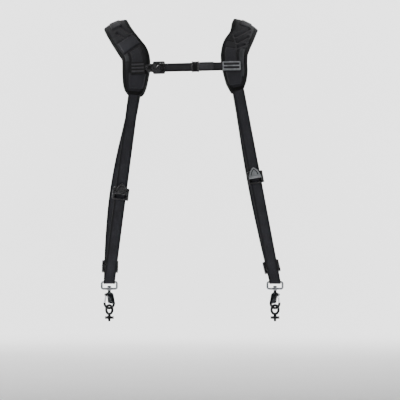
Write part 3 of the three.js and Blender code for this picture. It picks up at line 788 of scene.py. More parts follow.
# Black plastic painted grey, with strong edge lightening: painted highlights on the right slider's frame and
# on the right front lever.
HIGHLIT_PLASTIC = Coated("Grey plastic", "plastic", "4c4f50", "64686a", 0.4, 2600.0, 0.00005, wear=0.9)
RUBBER = Coated("Washer rubber", "rubber", "060607", "0e0e10", 0.85, 1500.0, 0.0001)
THREAD = Coated("Thread", "webbing", "101012", "28282b", 0.7, 3000.0, 0.00005, dust=0.2)
STEEL = Metal("Satin steel", "metal", "3e4043", "64666a", 0.3, "c6c8cc", 0.8)
BRIGHT_STEEL = Metal("Bright steel", "metal", "8c8e92", "aeb0b4", 0.28, "d6d8dc", 0.6)
BLACK_STEEL = Metal("Black steel", "dark_metal", "08090a", "141517", 0.38, "6d7074", 0.5)


# Shoulder pads

# A row for each station from the crest down to a tip: drop as a share of the pad's drop, inward
# as a share of its width, depth as a share of the chest or back depth, width as a share of its
# width, and slope in degrees, by which it climbs towards the neck.
PAD_ROWS: dict[Side, tuple[tuple[float, ...], ...]] = {
    Side.LEFT: (
        (0.0, 0.0, 0.0, 0.91, 22),
        (0.15, 0.23, 0.345, 0.93, 30),
        (0.29, 0.477, 0.58, 0.97, 30),
        (0.415, 0.68, 0.725, 1.0, 27),
        (0.55, 0.715, 0.82, 1.0, 17),
        (0.7, 0.688, 0.9, 0.94, 5),
        (0.863, 0.66, 0.965, 0.825, 3),
        (0.96, 0.645, 0.993, 0.66, 4),
        (1.0, 0.635, 1.0, 0.47, 6),
    ),
    Side.RIGHT: (
        (0.0, 0.0, 0.0, 0.99, 26),
        (0.15, 0.1, 0.345, 0.92, 16),
        (0.29, 0.275, 0.58, 1.0, 9),
        (0.415, 0.357, 0.725, 0.98, 4),
        (0.55, 0.36, 0.82, 0.935, 1),
        (0.7, 0.317, 0.9, 0.88, 0),
        (0.863, 0.283, 0.965, 0.73, -4),
        (0.96, 0.247, 0.993, 0.54, -8),
        (1.0, 0.213, 1.0, 0.46, -10),
    ),
}


@dataclass(frozen=True)
class Stations:
    """Places along a pad, each with its directions along, across and out of it, and half width."""

    place: Array
    along: Array
    across: Array
    out: Array
    half: Array


@dataclass
class PadRun:
    """Run of a pad from its front tip (share 0) over the crest (0.5) to its rear tip (1)."""

    side: Side
    drop: float
    crest_span: float = 281
    width: float = 60
    chest_depth: float = 110
    back_depth: float = 100
    crown: float = 10
    edge: float = 5

    @cached_property
    def knots(self) -> tuple[Array, Array]:
        """Places and sections (width, slope) at the stations of the table, front tip first."""
        rows = np.array(PAD_ROWS[self.side])
        sign = self.side.value

        def half_run(depth: float) -> tuple[Array, Array]:
            """The stations from the crest to the tip at one depth."""
            x = sign * self.crest_span / 2 - sign * rows[:, 1] * self.width
            place = np.stack([x, rows[:, 2] * depth, -rows[:, 0] * self.drop], axis=1)
            section = np.stack([rows[:, 3] * self.width, -sign * rows[:, 4], 0 * x], axis=1)
            return place, section

        front, rear = half_run(-self.chest_depth), half_run(self.back_depth)
        return tuple(np.vstack([a[::-1], b[1:]]) for a, b in zip(front, rear))

    @cached_property
    def travelled(self) -> tuple[Array, Array]:
        """Distance travelled along the run, and the spline shares at which it is measured."""
        fine = np.linspace(0, 1, 3001)
        return run_lengths(spline(self.knots[0], fine)), fine

    @property
    def length(self) -> float:
        """Length of the run."""
        return float(self.travelled[0][-1])

    def stations(self, share: Array) -> Stations:
        """Places and directions at shares of the run's length.

        Args:
            share: shares from 0 to 1.

        Returns:
            The stations, one row for each share.
        """
        distance, fine = self.travelled
        t = np.interp(share * distance[-1], distance, fine)
        place = spline(self.knots[0], t)
        step = 1e-4
        ahead = spline(self.knots[0], np.minimum(t + step, 1))
        along = unit(ahead - spline(self.knots[0], np.maximum(t - step, 0)))
        width, slope, _ = spline(self.knots[1], t).T
        lean = np.radians(slope)
        across = square_to(np.stack([np.cos(lean), 0 * lean, np.sin(lean)], axis=1), along)
        return Stations(place, along, across, unit(np.cross(across, along)), width / 2)

    def height(self, column: Array) -> Array:
        """Height of the padding: full in the middle, thin at the bound edge."""
        return self.edge + (self.crown - self.edge) * (1 - column**4)

    def points(self, share: Array, column: Array, above: Array) -> Array:
        """Points on the pad, each moved out from its underside.

        Args:
            share: place along the run, one for each row.
            column: place across it from -1 to 1, rows by columns.
            above: distance from the underside, rows by columns.

        Returns:
            A grid of points.
        """
        at = self.stations(share)
        sideways = at.across[:, None] * (column * at.half[:, None])[..., None]
        return at.place[:, None] + sideways + at.out[:, None] * above[..., None]

    def mapped(self, distance: Array, sideways: Array, above: Array) -> Array:
        """Carry flat pad coordinates onto the pad.

        A point is the run's place at its distance, moved across and out; beyond a tip it goes on
        straight.

        Args:
            distance: distances from the front tip, in any shape.
            sideways: distances across from the middle, in the same shape.
            above: heights over the underside, in the same shape.

        Returns:
            The points, with the same shape and three numbers each.
        """
        flat = distance.ravel()
        at = self.stations(np.clip(flat / self.length, 0, 1))
        beyond = flat - np.clip(flat, 0, self.length)
        point = at.place + at.along * beyond[:, None] + at.across * sideways.reshape(-1, 1)
        return (point + at.out * above.reshape(-1, 1)).reshape(*distance.shape, 3)

    def half_at(self, distance: Array) -> Array:
        """Half the pad's width at distances from the front tip."""
        return self.stations(np.clip(distance.ravel() / self.length, 0, 1)).half.reshape(distance.shape)


def segment_distance(x: Array, y: Array, start: Array, stop: Array) -> Array:
    """Distance of points from a straight segment in flat coordinates.

    Args:
        x: first coordinates of the points.
        y: second coordinates of the points.
        start: the segment's start.
        stop: the segment's end.

    Returns:
        The distances.
    """
    line = stop - start
    share = ((x - start[0]) * line[0] + (y - start[1]) * line[1]) / (line @ line)
    share = np.clip(share, 0, 1)
    return np.hypot(x - start[0] - share * line[0], y - start[1] - share * line[1])


def softly(value: Array, low: float, high: float) -> Array:
    """Rise from 0 to 1 between two values, level at both ends."""
    share = np.clip((value - low) / (high - low), 0, 1)
    return share * share * (3 - 2 * share)


@dataclass(frozen=True)
class PadPlan:
    """What is sewn on one pad: shares along the run, and places across it from -1 to 1.

    A fold or a seam is a chain of (share, column) corners.
    """

    drop: float
    rail_shift: float
    lower: tuple[float, float]
    folds: tuple[tuple[tuple[float, float], ...], ...]
    seams: tuple[tuple[tuple[float, float], ...], ...]
    strips: tuple[tuple[float, float, float, float], ...]
    mesh: tuple[tuple[float, float, float], ...] = ()


PAD_PLANS: dict[Side, PadPlan] = {
    Side.LEFT: PadPlan(
        drop=148,
        rail_shift=5.4,
        lower=(-0.5, 0.86),
        folds=(
            ((0.446, 0.3), (0.363, 0.68)),
            ((0.412, -0.21), (0.353, 0.16)),
        ),
        seams=(
            ((0.35, -0.72), (0.345, 0.86)),
            ((0.262, -0.7), (0.262, 0.86)),
            ((0.25, -0.35), (0.12, -0.35)),
            ((0.115, 0.86), (0.0895, 0.5), (0.058, 0.6), (0.032, 0.9)),
        ),
        strips=((0.186, 0.255, -0.72, -0.42),),
    ),
    Side.RIGHT: PadPlan(
        drop=138,
        rail_shift=-8,
        lower=(-0.86, 0.5),
        folds=(
            ((0.4405, 0.35), (0.3415, -0.35)),
            ((0.374, 0.5), (0.302, 0.02)),
            ((0.2987, 0.54), (0.2631, 0.16)),
        ),
        seams=(
            ((0.46, -0.8), (0.367, -0.675), (0.2914, -0.012), (0.255, 0.14), (0.165, 0.25), (0.12, 0.3)),
            ((0.46, 0.72), (0.26, 0.78), (0.12, 0.78)),
        ),
        strips=((0.075, 0.262, 0.36, 0.74),),
        mesh=((0.298, -0.86, -0.2), (0.33, -0.86, -0.46), (0.364, -0.86, -0.76)),
    ),
}


Borders = Callable[[Array], tuple[Array, Array]]


def level_borders(low: float, high: float) -> Borders:
    """Borders at two constant distances from the pad's middle line."""
    return lambda distance: (np.full(distance.shape, low), np.full(distance.shape, high))


@dataclass
class ShoulderPad:
    """A shoulder pad: cushion, bound edge, panels, webbing bands and their stitching."""

    side: Side
    binding_width: float = 6.3
    tip_taper: float = 16
    fold_depth: float = 1.9
    fold_width: float = 2.6
    crest_rise: float = 4.5
    seam_depth: float = 0.8
    seam_width: float = 1.3
    swell: float = 1.6
    rail_width: float = 25
    rail_stretch: tuple[float, float] = (0.14, 0.25)
    lower_stretch: tuple[float, float] = (0.03, 0.115)
    label_stretch: tuple[float, float] = (0.268, 0.342)
    label_edges: tuple[float, float] = (-0.62, 0.8)
    panel_thickness: float = 1.5
    band_thickness: float = 2.1
    crest_stretch: tuple[float, float] = (0.45, 0.62)
    crest_half: float = 12.2
    stitch: tuple[float, float, float] = (3.1, 1.0, 0.28)
    top_layer: float = 0.0

    @cached_property
    def plan(self) -> PadPlan:
        """What is sewn on this side's pad."""
        return PAD_PLANS[self.side]

    @cached_property
    def run(self) -> PadRun:
        """The pad's run over the shoulder."""
        return PadRun(self.side, self.plan.drop)

    def flat(self, corners: Sequence[tuple[float, float]]) -> Array:
        """Corners given as (share, column), in flat coordinates."""
        share, column = np.array(corners).T
        distance = share * self.run.length
        return np.stack([distance, column * self.run.half_at(distance)], axis=1)

    def bare_height(self, distance: Array, sideways: Array) -> Array:
        """Height of the foam before it is sewn: crowned across, thinner towards both tips.

        Args:
            distance: distances from the front tip.
            sideways: distances across from the middle, in the same shape.

        Returns:
            The heights over the underside.
        """
        column = np.clip(sideways / self.run.half_at(distance), -1, 1)
        from_tip = np.minimum(distance, self.run.length - distance)
        full = 0.1 + 0.9 * softly(from_tip, 0, self.tip_taper)
        rise = self.crest_rise * softly(from_tip / self.run.length, 0.3, 0.47)
        return self.run.edge + (self.run.height(column) - self.run.edge) * full + rise

    def relief(self, distance: Array, sideways: Array) -> Array:
        """Folds and seams: a bell-shaped dip along each chain, with a low roll beside a fold.

        Args:
            distance: distances from the front tip.
            sideways: distances across from the middle, in the same shape.

        Returns:
            The heights to add.
        """
        total = np.zeros(distance.shape)
        kinds = (
            (self.plan.folds, self.fold_depth, self.fold_width, 0.6),
            (self.plan.seams, self.seam_depth, self.seam_width, 0.0),
        )
        for chains, depth, width, roll in kinds:
            for chain in chains:
                corners = self.flat(chain)
                away = np.min([
                    segment_distance(distance, sideways, a, b) for a, b in zip(corners[:-1], corners[1:])
                ], axis=0)
                total -= depth * np.exp(-((away / width) ** 2))
                total += roll * np.exp(-(((away - 2.4 * width) / width) ** 2))
        return total

    def held(self, distance: Array, sideways: Array) -> Array:
        """1 where the cover is sewn down and can't swell, 0 in the middle of a free field.

        Args:
            distance: distances from the front tip.
            sideways: distances across from the middle, in the same shape.

        Returns:
            The weights.
        """
        run = self.run
        column = np.abs(sideways) / run.half_at(distance)
        away = np.minimum.reduce([
            (1 - column) * run.half_at(distance) - self.binding_width,
            distance - 0.125 * run.length,
            np.abs(distance - 0.62 * run.length),
            run.length * 0.99 - distance,
        ])
        for chain in self.plan.seams + self.plan.folds:
            corners = self.flat(chain)
            for a, b in zip(corners[:-1], corners[1:]):
                away = np.minimum(away, segment_distance(distance, sideways, a, b))
        low, high = (share * run.length for share in self.rail_stretch)
        aside = np.maximum(np.abs(sideways - self.plan.rail_shift) - self.rail_width / 2, 0)
        beyond = np.maximum(np.maximum(low - 8 - distance, distance - high), 0)
        away = np.minimum(away, np.hypot(aside, beyond))
        return 1 - softly(away, 0, 5)

    @cached_property
    def lift(self) -> tuple[Array, Array, Array]:
        """Swell of the padding on a grid: distances, columns, and the height that it adds.

        The cover is a cloth that is sewn down where `held` says so and is blown up from inside.
        Without simulation the swell is the free fields' share of the full swell.

        Returns:
            The distances, the columns and the added heights.
        """
        run = self.run
        distances = np.linspace(0, run.length, 150)
        columns = np.linspace(-0.965, 0.965, 30)
        distance, column = np.meshgrid(distances, columns, indexing="ij")
        sideways = column * run.half_at(distance)
        held = self.held(distance, sideways)
        swell = self.swell * (1 - held)
        above = self.bare_height(distance, sideways)
        top = run.mapped(distance, sideways, above)
        under = run.mapped(distance[:, ::-3], sideways[:, ::-3], np.full_like(distance[:, ::-3], 0.4))
        weight = np.concatenate([held, np.ones(under.shape[:2])], axis=1)
        blown = blown_up(np.concatenate([top, under], axis=1), weight)
        out = run.stations(distances / run.length).out[:, None]
        rise = ((blown[:, :len(columns)] - top) * out).sum(-1)
        swell = 0.35 * swell + np.clip(rise, -0.6, 2 * self.swell)
        return distances, columns, swell

    def height(self, distance: Array, sideways: Array, relief: bool = True) -> Array:
        """Height of the finished cover over the pad's underside, at flat coordinates."""
        distances, columns, swell = self.lift
        u = np.clip(np.interp(distance, distances, np.arange(len(distances))), 0, len(distances) - 1.001)
        column = sideways / self.run.half_at(distance)
        v = np.clip(np.interp(column, columns, np.arange(len(columns))), 0, len(columns) - 1.001)
        i, j = u.astype(int), v.astype(int)
        a, b = u - i, v - j
        added = (1 - a) * ((1 - b) * swell[i, j] + b * swell[i, j + 1])
        added += a * ((1 - b) * swell[i + 1, j] + b * swell[i + 1, j + 1])
        total = self.bare_height(distance, sideways) + added
        return total + self.relief(distance, sideways) if relief else total

    def cushion(self) -> Object:
        """The padding: cover above, spacer mesh with sewn channels below.

        Returns:
            The piece.
        """
        run = self.run
        distances = np.linspace(0.4, run.length - 0.4, 300)
        upper, lower = np.linspace(-0.965, 0.965, 64), np.linspace(0.965, -0.965, 26)
        distance, column = np.meshgrid(distances, upper, indexing="ij")
        sideways = column * run.half_at(distance)
        top = run.mapped(distance, sideways, self.height(distance, sideways))
        distance, column = np.meshgrid(distances, lower, indexing="ij")
        sideways_under = column * run.half_at(distance)
        channel = np.exp(-((((distance + 11) % 34 - 17) / 1.6) ** 2)) * (1 - column**4)
        hollow = 0.15 + 1.3 * channel + 0.5 * column**8
        under = run.mapped(distance, sideways_under, hollow)
        grid = np.concatenate([top, under], axis=1)
        around = np.concatenate([upper, lower]) * run.width / 2
        shell = Shell().grid(grid, along=distances, around=around)
        below = np.zeros((len(distances) - 1, grid.shape[1]), dtype=int)
        below[:, len(upper):-1] = 1
        shell.parts = below.ravel().tolist() + shell.parts[below.size:]
        piece = shell.piece(f"{self.side.label}_pad_cushion", [PAD_CLOTH.material, MESH_CLOTH.material], 60)
        return settled(piece, "harness", "padding", f"{self.side.label}_shoulder_pad")

    def binding(self) -> Object:
        """Tape folded over the edge all round: a flat loop of sections carried onto the pad.

        Returns:
            The piece.
        """
        run = self.run
        line = np.linspace(0, run.length, 420)
        half = run.half_at(line)
        tip = np.linspace(1, -1, 34)[1:-1]
        rim = np.concatenate([
            np.stack([line, half], axis=1),
            np.stack([np.full(32, run.length), tip * half[-1]], axis=1),
            np.stack([line, -half], axis=1)[::-1],
            np.stack([np.zeros(32), -tip * half[0]], axis=1),
        ])
        kernel = np.hanning(11) / np.hanning(11).sum()
        rim = sum(np.roll(rim, k - 5, axis=0) * share for k, share in enumerate(kernel))
        ahead = tangents(rim, looped=True)
        inward = np.stack([-ahead[:, 1], ahead[:, 0]], axis=1)
        inward *= np.sign(((np.array([run.length / 2, 0]) - rim) * inward).sum(1, keepdims=True))
        inward[:420, 1], inward[452:872, 1] = -np.abs(inward[:420, 1]), np.abs(inward[452:872, 1])
        wide = self.binding_width
        reach = np.array([
            wide, wide - 0.6, 0.72 * wide, 0.45 * wide, 1.6, 0.4, -0.35, -0.7,
            -0.35, 0.4, 1.6, 0.5 * wide, wide - 0.8, wide - 0.3, wide * 0.5,
        ])
        over = np.array([0.15, 0.62, 0.75, 0.75, 0.7, 0.5, 0.2])
        at = rim[:, None] + inward[:, None] * reach[None, :, None]
        top = self.height(at[..., 0], at[..., 1], relief=False)[:, :7] + over
        top[:, 5:] = top[:, 4:5] - np.array([0.5, 1.5])
        low = np.broadcast_to(np.array([2.2, 0.2, -0.35, -0.55, -0.6, -0.5, -0.1, 1.8]), (len(rim), 8))
        grid = run.mapped(at[..., 0], at[..., 1], np.concatenate([top, low], axis=1))
        around = 1.2 * np.arange(15)
        shell = Shell().grid(grid, around=around, looped=True)
        piece = shell.piece(f"{self.side.label}_pad_binding", [BINDING.material], 50)
        return settled(piece, "harness", "padding")

    def patch(self, distances: Array, low: Array, high: Array, thickness: float, sink: float = 0.9) -> Array:
        """A sewn-on layer between two borders, as a closed tube of rings.

        Its top stands a thickness above the cover and rounds off at all four borders; its
        bottom lies inside the cushion.

        Args:
            distances: distance of each row from the front tip.
            low: border on the low side, for each row.
            high: border on the high side, for each row.
            thickness: thickness of the layer.
            sink: depth of its bottom under the cover.

        Returns:
            A grid of points.
        """
        t = np.sin(np.linspace(-np.pi / 2, np.pi / 2, 30))
        back = np.linspace(1, -1, 12)
        middle, half = ((high + low) / 2)[:, None], ((high - low) / 2)[:, None]
        r = np.linspace(-1, 1, len(distances))[:, None]
        distance = np.broadcast_to(distances[:, None], (len(distances), 30))
        sideways = middle + half * t
        full = np.clip(1 - np.abs(t) ** 18, 0, 1) ** 0.5 * np.clip(1 - np.abs(r) ** 40, 0, 1) ** 0.5
        top = self.height(distance, sideways, relief=False) + thickness * full - 0.1 * (1 - full)
        distance_under = np.broadcast_to(distances[:, None], (len(distances), 12))
        sideways_under = middle + half * back
        under = self.height(distance_under, sideways_under, relief=False) - sink
        return np.concatenate([
            self.run.mapped(distance, sideways, top),
            self.run.mapped(distance_under, sideways_under, under),
        ], axis=1)

    def layer(
        self, name: str, finish: Finish, stretch: tuple[float, float], borders: Borders,
        thickness: float, node: str = "", rows: int = 70,
    ) -> Object:
        """Make one sewn-on layer.

        Args:
            name: the layer's name after the side's.
            finish: its finish.
            stretch: the shares of the run between which it lies.
            borders: gives the low and high border at distances from the front tip.
            thickness: its thickness.
            node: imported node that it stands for, if there is one.
            rows: rings of the layer.

        Returns:
            The piece.
        """
        distances = np.linspace(*stretch, rows) * self.run.length
        low, high = borders(distances)
        grid = self.patch(distances, low, high, thickness)
        across = np.concatenate([np.linspace(-1, 1, 30), np.linspace(1, -1, 12)]) * (high - low).mean() / 2
        shell = Shell().grid(grid, along=distances, around=across)
        piece = shell.piece(f"{self.side.label}_{name}", [finish.material], 50)
        return settled(piece, "harness", finish.slot, *([node] if node else []))

    def share_of_half(self, low: float, high: float) -> Borders:
        """Borders at two shares of the pad's half width."""
        return lambda distance: (low * self.run.half_at(distance), high * self.run.half_at(distance))

    @cached_property
    def rail_borders(self) -> Borders:
        """Borders of the rail."""
        shift, half = self.plan.rail_shift, self.rail_width / 2
        return level_borders(shift - half, shift + half)

    @cached_property
    def crest_borders(self) -> Borders:
        """Borders of the band over the crest."""
        return level_borders(-self.crest_half, self.crest_half)

    def mesh_borders(self, distance: Array) -> tuple[Array, Array]:
        """Borders of the mesh field, between the corners of its table."""
        share, low, high = np.array(self.plan.mesh).T
        here, half = distance / self.run.length, self.run.half_at(distance)
        return np.interp(here, share, low) * half, np.interp(here, share, high) * half

    def panels(self) -> list[Object]:
        """The lower panel, the rail, the crest band, the strips, the mesh field and the label band.

        Returns:
            The pieces.
        """
        side, plan, band = self.side.label, self.plan, self.band_thickness
        made = [
            self.layer("lower_panel_cloth", PANEL, self.lower_stretch, self.share_of_half(*plan.lower),
                       self.panel_thickness, f"{side}_lower_panel"),
            self.layer("rail_webbing", SLING, self.rail_stretch, self.rail_borders, band,
                       f"{side}_pad_rail"),
            self.layer("crest_webbing", SLING, self.crest_stretch, self.crest_borders, band,
                       f"{side}_crest_band", 110),
        ]
        for number, (start, stop, low, high) in enumerate(plan.strips):
            borders = self.share_of_half(low, high)
            made.append(self.layer(f"pad_strip_{number}", RIBBED, (start, stop), borders, 0.7))
        if plan.mesh:
            stretch = (plan.mesh[0][0], plan.mesh[-1][0])
            made.append(self.layer("pad_mesh_field", MESH_CLOTH, stretch, self.mesh_borders, 0.5))
        if self.side is Side.LEFT:
            borders = self.share_of_half(*self.label_edges)
            made.append(self.layer("label_panel", PANEL, self.label_stretch, borders, 1.3, "label_band"))
        return made

    def stitches(self, shell: Shell, line: Array) -> None:
        """Add a row of stitches along a line in flat coordinates.

        A stitch is a capsule of rings whose radius follows a half circle, half sunk in the cover.

        Args:
            shell: the thread so far.
            line: points of the line.
        """
        pitch, half_length, radius = self.stitch
        travelled = run_lengths(line)
        middles = np.arange(pitch, travelled[-1] - pitch / 2, pitch)
        if not len(middles):
            return
        along_line = np.linspace(-half_length, half_length, 5)
        width = radius * np.sqrt(np.clip(1.05 - (along_line / half_length) ** 2, 0, 1))
        at = middles[:, None] + along_line
        x, y = (np.interp(at, travelled, line[:, k]) for k in (0, 1))
        ahead = unit(np.stack([x[:, -1] - x[:, 0], y[:, -1] - y[:, 0]], axis=1))[:, None, None]
        ring = circle(1, 6)
        across = width[None, :, None] * ring[:, 0]
        distance = x[..., None] - ahead[..., 1] * across
        sideways = y[..., None] + ahead[..., 0] * across
        base = self.height(x, y, relief=False)[..., None] + self.top_layer
        grids = self.run.mapped(distance, sideways, base + 0.12 + width[None, :, None] * ring[:, 1])
        for grid in grids:
            shell.grid(grid)

    def stitching(self) -> Object:
        """All visible thread: beside the binding, round each panel and in boxes on the bands.

        Returns:
            The piece.
        """
        shell = Shell()
        run = self.run
        line = np.linspace(6, run.length - 6, 200)
        inset = run.half_at(line) - self.binding_width + 1.1
        self.top_layer = 0.75
        for sign in (-1, 1):
            self.stitches(shell, np.stack([line, sign * inset], axis=1))
        self.top_layer = 1.55
        self.outline(shell, self.lower_stretch, self.share_of_half(*self.plan.lower))
        if self.side is Side.LEFT:
            self.outline(shell, self.label_stretch, self.share_of_half(*self.label_edges))
        self.top_layer = self.band_thickness
        start, stop = self.rail_stretch
        for box in ((start, start + 0.022), (stop - 0.03, stop)):
            self.outline(shell, box, self.rail_borders)
        start, stop = self.crest_stretch
        for box in ((start, start + 0.045), (stop - 0.045, stop)):
            self.outline(shell, box, self.crest_borders)
        piece = shell.piece(f"{self.side.label}_pad_stitching", [THREAD.material])
        return settled(piece, "harness", "webbing")

    def outline(
        self, shell: Shell, stretch: tuple[float, float], borders: Borders, inset: float = 1.8
    ) -> None:
        """Add stitches round a layer, just inside its four borders.

        Args:
            shell: the thread so far.
            stretch: the shares of the run between which the layer lies.
            borders: gives its low and high border at distances from the front tip.
            inset: distance of the stitches from the borders.
        """
        length = self.run.length
        distance = np.linspace(stretch[0] * length + inset, stretch[1] * length - inset, 24)
        low, high = borders(distance)
        low, high = low + inset, high - inset
        for border in (low, high):
            self.stitches(shell, np.stack([distance, border], axis=1))
        for end in (0, -1):
            self.stitches(shell, np.linspace([distance[end], low[end]], [distance[end], high[end]], 12))

    def build(self) -> None:
        """Make all pieces of the pad."""
        self.cushion()
        self.binding()
        self.panels()
        self.stitching()


def blown_up(grid: Array, held: Array, pressure: float = 4.0, frames: int = 20) -> Array:
    """Blow up a closed grid of cloth that is held where `held` is 1.

    Args:
        grid: points in millimetres, rings by points round a ring.
        held: weight with which each point is held.
        pressure: pressure inside.
        frames: number of steps.

    Returns:
        The points after the last step.
    """
    shell = Shell().grid(grid)
    cloth = shell.piece("cloth", [])
    group = cloth.vertex_groups.new(name="Held")
    weights = np.concatenate([held.ravel(), np.ones(2)])
    for level in np.unique(np.round(weights, 1)):
        chosen = np.flatnonzero(np.round(weights, 1) == level)
        group.add(chosen.tolist(), float(level), "REPLACE")
    modifier = cloth.modifiers.new("Cloth", "CLOTH")
    settings = modifier.settings
    settings.vertex_group_mass, settings.quality, settings.mass = "Held", 6, 0.2
    settings.use_pressure, settings.uniform_pressure_force = True, pressure
    settings.effector_weights.gravity = 0
    settings.tension_stiffness = settings.compression_stiffness = 12
    settings.shear_stiffness, settings.bending_stiffness = 8, 0.6
    modifier.point_cache.frame_start, modifier.point_cache.frame_end = 1, frames
    scene = bpy.context.scene
    for step in range(1, frames + 1):
        scene.frame_set(step)
    mesh = cloth.evaluated_get(bpy.context.evaluated_depsgraph_get()).to_mesh()
    flat = np.empty(len(mesh.vertices) * 3, dtype=np.float32)
    mesh.vertices.foreach_get("co", flat)
    scene.frame_set(1)
    bpy.data.objects.remove(cloth)
    return flat.reshape(-1, 3)[:grid.shape[0] * grid.shape[1]].reshape(grid.shape) / MM


# Slings

EYE_DEPTH, SLING_DROP = -40.0, -560.5


@dataclass(frozen=True)
class SlingPlan:
    """What differs between the slings: the eye's X, the lock's place, sway and the yaws."""

    eye_x: float
    lock: float
    sway: float
    hook_yaw: float
    ring_yaw: float
    bulge: float = -14


SLING_PLANS: dict[Side, SlingPlan] = {
    Side.LEFT: SlingPlan(-157.4, 0.523, 14, 20, 25),
    Side.RIGHT: SlingPlan(208.9, 0.449, -6, 150, -25),
}
REAR_SWAY = ((0.0, 0.0), (0.25, 0.72), (0.45, 1.0), (0.62, 0.86), (0.8, 0.4), (0.92, 0.1), (1.0, 0.0))


@dataclass
class Sling:
    """One webbing from the pad's front tip round the eye's top bar to its rear tip."""

    side: Side
    run: PadRun
    width: float = 25
    thickness: float = 2
    fit: float = 0.3
    eye_bar: float = 4.5
    below_pivot: float = 16
    above_pivot: float = 11
    rear_lock_height: float = 36
    lock_margin: float = 2

    @cached_property
    def plan(self) -> SlingPlan:
        """What is this side's own."""
        return SLING_PLANS[self.side]

    @cached_property
    def eye(self) -> Array:
        """Middle of the eye's top bar."""
        return np.array([self.plan.eye_x, EYE_DEPTH, SLING_DROP])

    @cached_property
    def ends(self) -> tuple[Array, Array]:
        """Where the webbing leaves the front tip and the rear tip of the pad."""
        tips = self.run.stations(np.array([0.0, 1.0]))
        middle = tips.place + tips.out * self.run.edge / 2
        return middle[0] - tips.along[0] * self.fit, middle[1] + tips.along[1] * self.fit

    def front(self, share: Array) -> Array:
        """Points of the front strand: a straight line with half a sine wave of bulge."""
        share = np.atleast_1d(share)[:, None]
        bulge = np.array([0.0, self.plan.bulge, 0.0]) * np.sin(np.pi * share)
        return self.ends[0] + (self.eye - self.ends[0]) * share + bulge

    def rear(self, up: Array) -> Array:
        """Points of the rear strand, at shares of its rise: a straight line with a slow sway.

        Args:
            up: shares from the eye to the rear tip.

        Returns:
            One row for each share.
        """
        up = np.atleast_1d(up)
        rows = np.array(REAR_SWAY)
        fine = np.linspace(0, 1, 600)
        line = spline(np.column_stack([rows, np.zeros(len(rows))]), fine)
        sway = np.interp(up, line[:, 0], line[:, 1]) * self.plan.sway * self.side.value
        shift = np.stack([sway, 0 * up, 0 * up], axis=1)
        return self.ends[1] + (self.eye - self.ends[1]) * (1 - up)[:, None] + shift

    @cached_property
    def lock_spans(self) -> tuple[Array, Array]:
        """Lower and upper end of the straight webbing through the front and the rear lock."""
        half = (self.above_pivot + self.below_pivot) / np.linalg.norm(self.eye - self.ends[0])
        front = self.front(np.array([self.plan.lock + half, self.plan.lock - half]))
        span = np.linalg.norm(self.eye - self.ends[1])
        reach = (self.above_pivot + self.below_pivot) / 2 + self.lock_margin
        rear = self.rear((self.rear_lock_height + np.array([-reach, reach])) / span)
        return front, rear

    @cached_property
    def path(self) -> Array:
        """Middle line of the whole webbing, evenly spaced."""
        front, rear = self.lock_spans
        half = np.linalg.norm(front[1] - front[0]) / 2 / np.linalg.norm(self.eye - self.ends[0])
        lock = self.plan.lock
        through = np.linspace(0, 1, 5)[:, None]
        upper = self.front(np.array([0.0, 0.04, 0.14, 0.22, 0.3, lock - 2.2 * half]))
        lower = self.front(np.array([lock + 2.2 * half, 0.72, 0.8, 0.88, 0.94]))
        bend = self.eye_bar / 2 + self.fit + self.thickness / 2

        def lean(point: Array) -> float:
            """Angle of the line from the eye to a point, away from upright."""
            rise = point - self.eye
            return math.atan2(rise[1], rise[2])

        angle = np.linspace(np.pi - lean(lower[-1]), 2 * np.pi - lean(rear[0]), 9)
        turn = self.eye + bend * np.stack([0 * angle, np.cos(angle), np.sin(angle)], axis=1)
        top = self.rear(np.array([0.22, 0.3, 0.4, 0.5, 0.6, 0.7, 0.8, 0.9, 0.96, 1.0]))
        knots = np.vstack([
            upper, front[1] + (front[0] - front[1]) * through, lower, turn,
            rear[0] + (rear[1] - rear[0]) * through, top,
        ])
        return spline(knots, even_shares(knots, 760))

    def webbing(self) -> Object:
        """The webbing: a flat section with round selvedges, carried along the path."""
        path = self.path
        ahead = tangents(path)
        across = square_to(np.broadcast_to([1.0, 0.0, 0.0], path.shape), ahead)
        section = flat_section(self.width, self.thickness, 14, 5)
        selvedge = 1 + 0.14 * np.exp(-(((np.abs(section[:, 0]) - self.width / 2 + 1.3) / 0.8) ** 2))
        section = section * np.stack([np.ones(len(section)), selvedge], axis=1)
        grid = swept(path, across, np.cross(across, ahead), section)
        shell = Shell().grid(grid, along=run_lengths(path), around=section[:, 0])
        name = f"{self.side.label}_sling_webbing"
        return settled(shell.piece(name + "_woven", [SLING.material], 60), "harness", "webbing", name)

    def lock_place(self, lower: Array, upper: Array, pivot_up: float, facing: int) -> Place:
        """Axes of a cam lock: X across, Z up the webbing, Y into it from the lever's side.

        Args:
            lower: lower end of the lock's straight webbing.
            upper: its upper end.
            pivot_up: height of the pin over the lower end.
            facing: 1 in front, -1 behind.

        Returns:
            The place.
        """
        up = unit(upper - lower)
        across = square_to(np.array([float(facing), 0.0, 0.0]), up)
        return Place(lower + up * pivot_up, np.stack([across, np.cross(up, across), up]))

    def locks(self) -> None:
        """The front lock and the rear lock."""
        front, rear = self.lock_spans
        half = np.linalg.norm(front[1] - front[0]) / 2
        CamLock(self.side, "front", self.lock_place(front[0], front[1], half, 1)).build()
        place = self.lock_place(rear[0], rear[1], self.below_pivot + self.lock_margin, -1)
        CamLock(self.side, "rear", place).build()

    def build(self) -> None:
        """Make the webbing, its locks and what hangs on its eye."""
        self.webbing()
        self.locks()
        yaw = self.plan.hook_yaw
        at_eye = Place(self.eye, np.eye(3))
        at_hook = at_eye.turned_about_z(yaw)
        SwivelEye(self.side, at_eye).build()
        SnapHook(self.side, at_hook).build()
        RingBolt(self.side, at_hook.turned_about_z(self.plan.ring_yaw)).build()


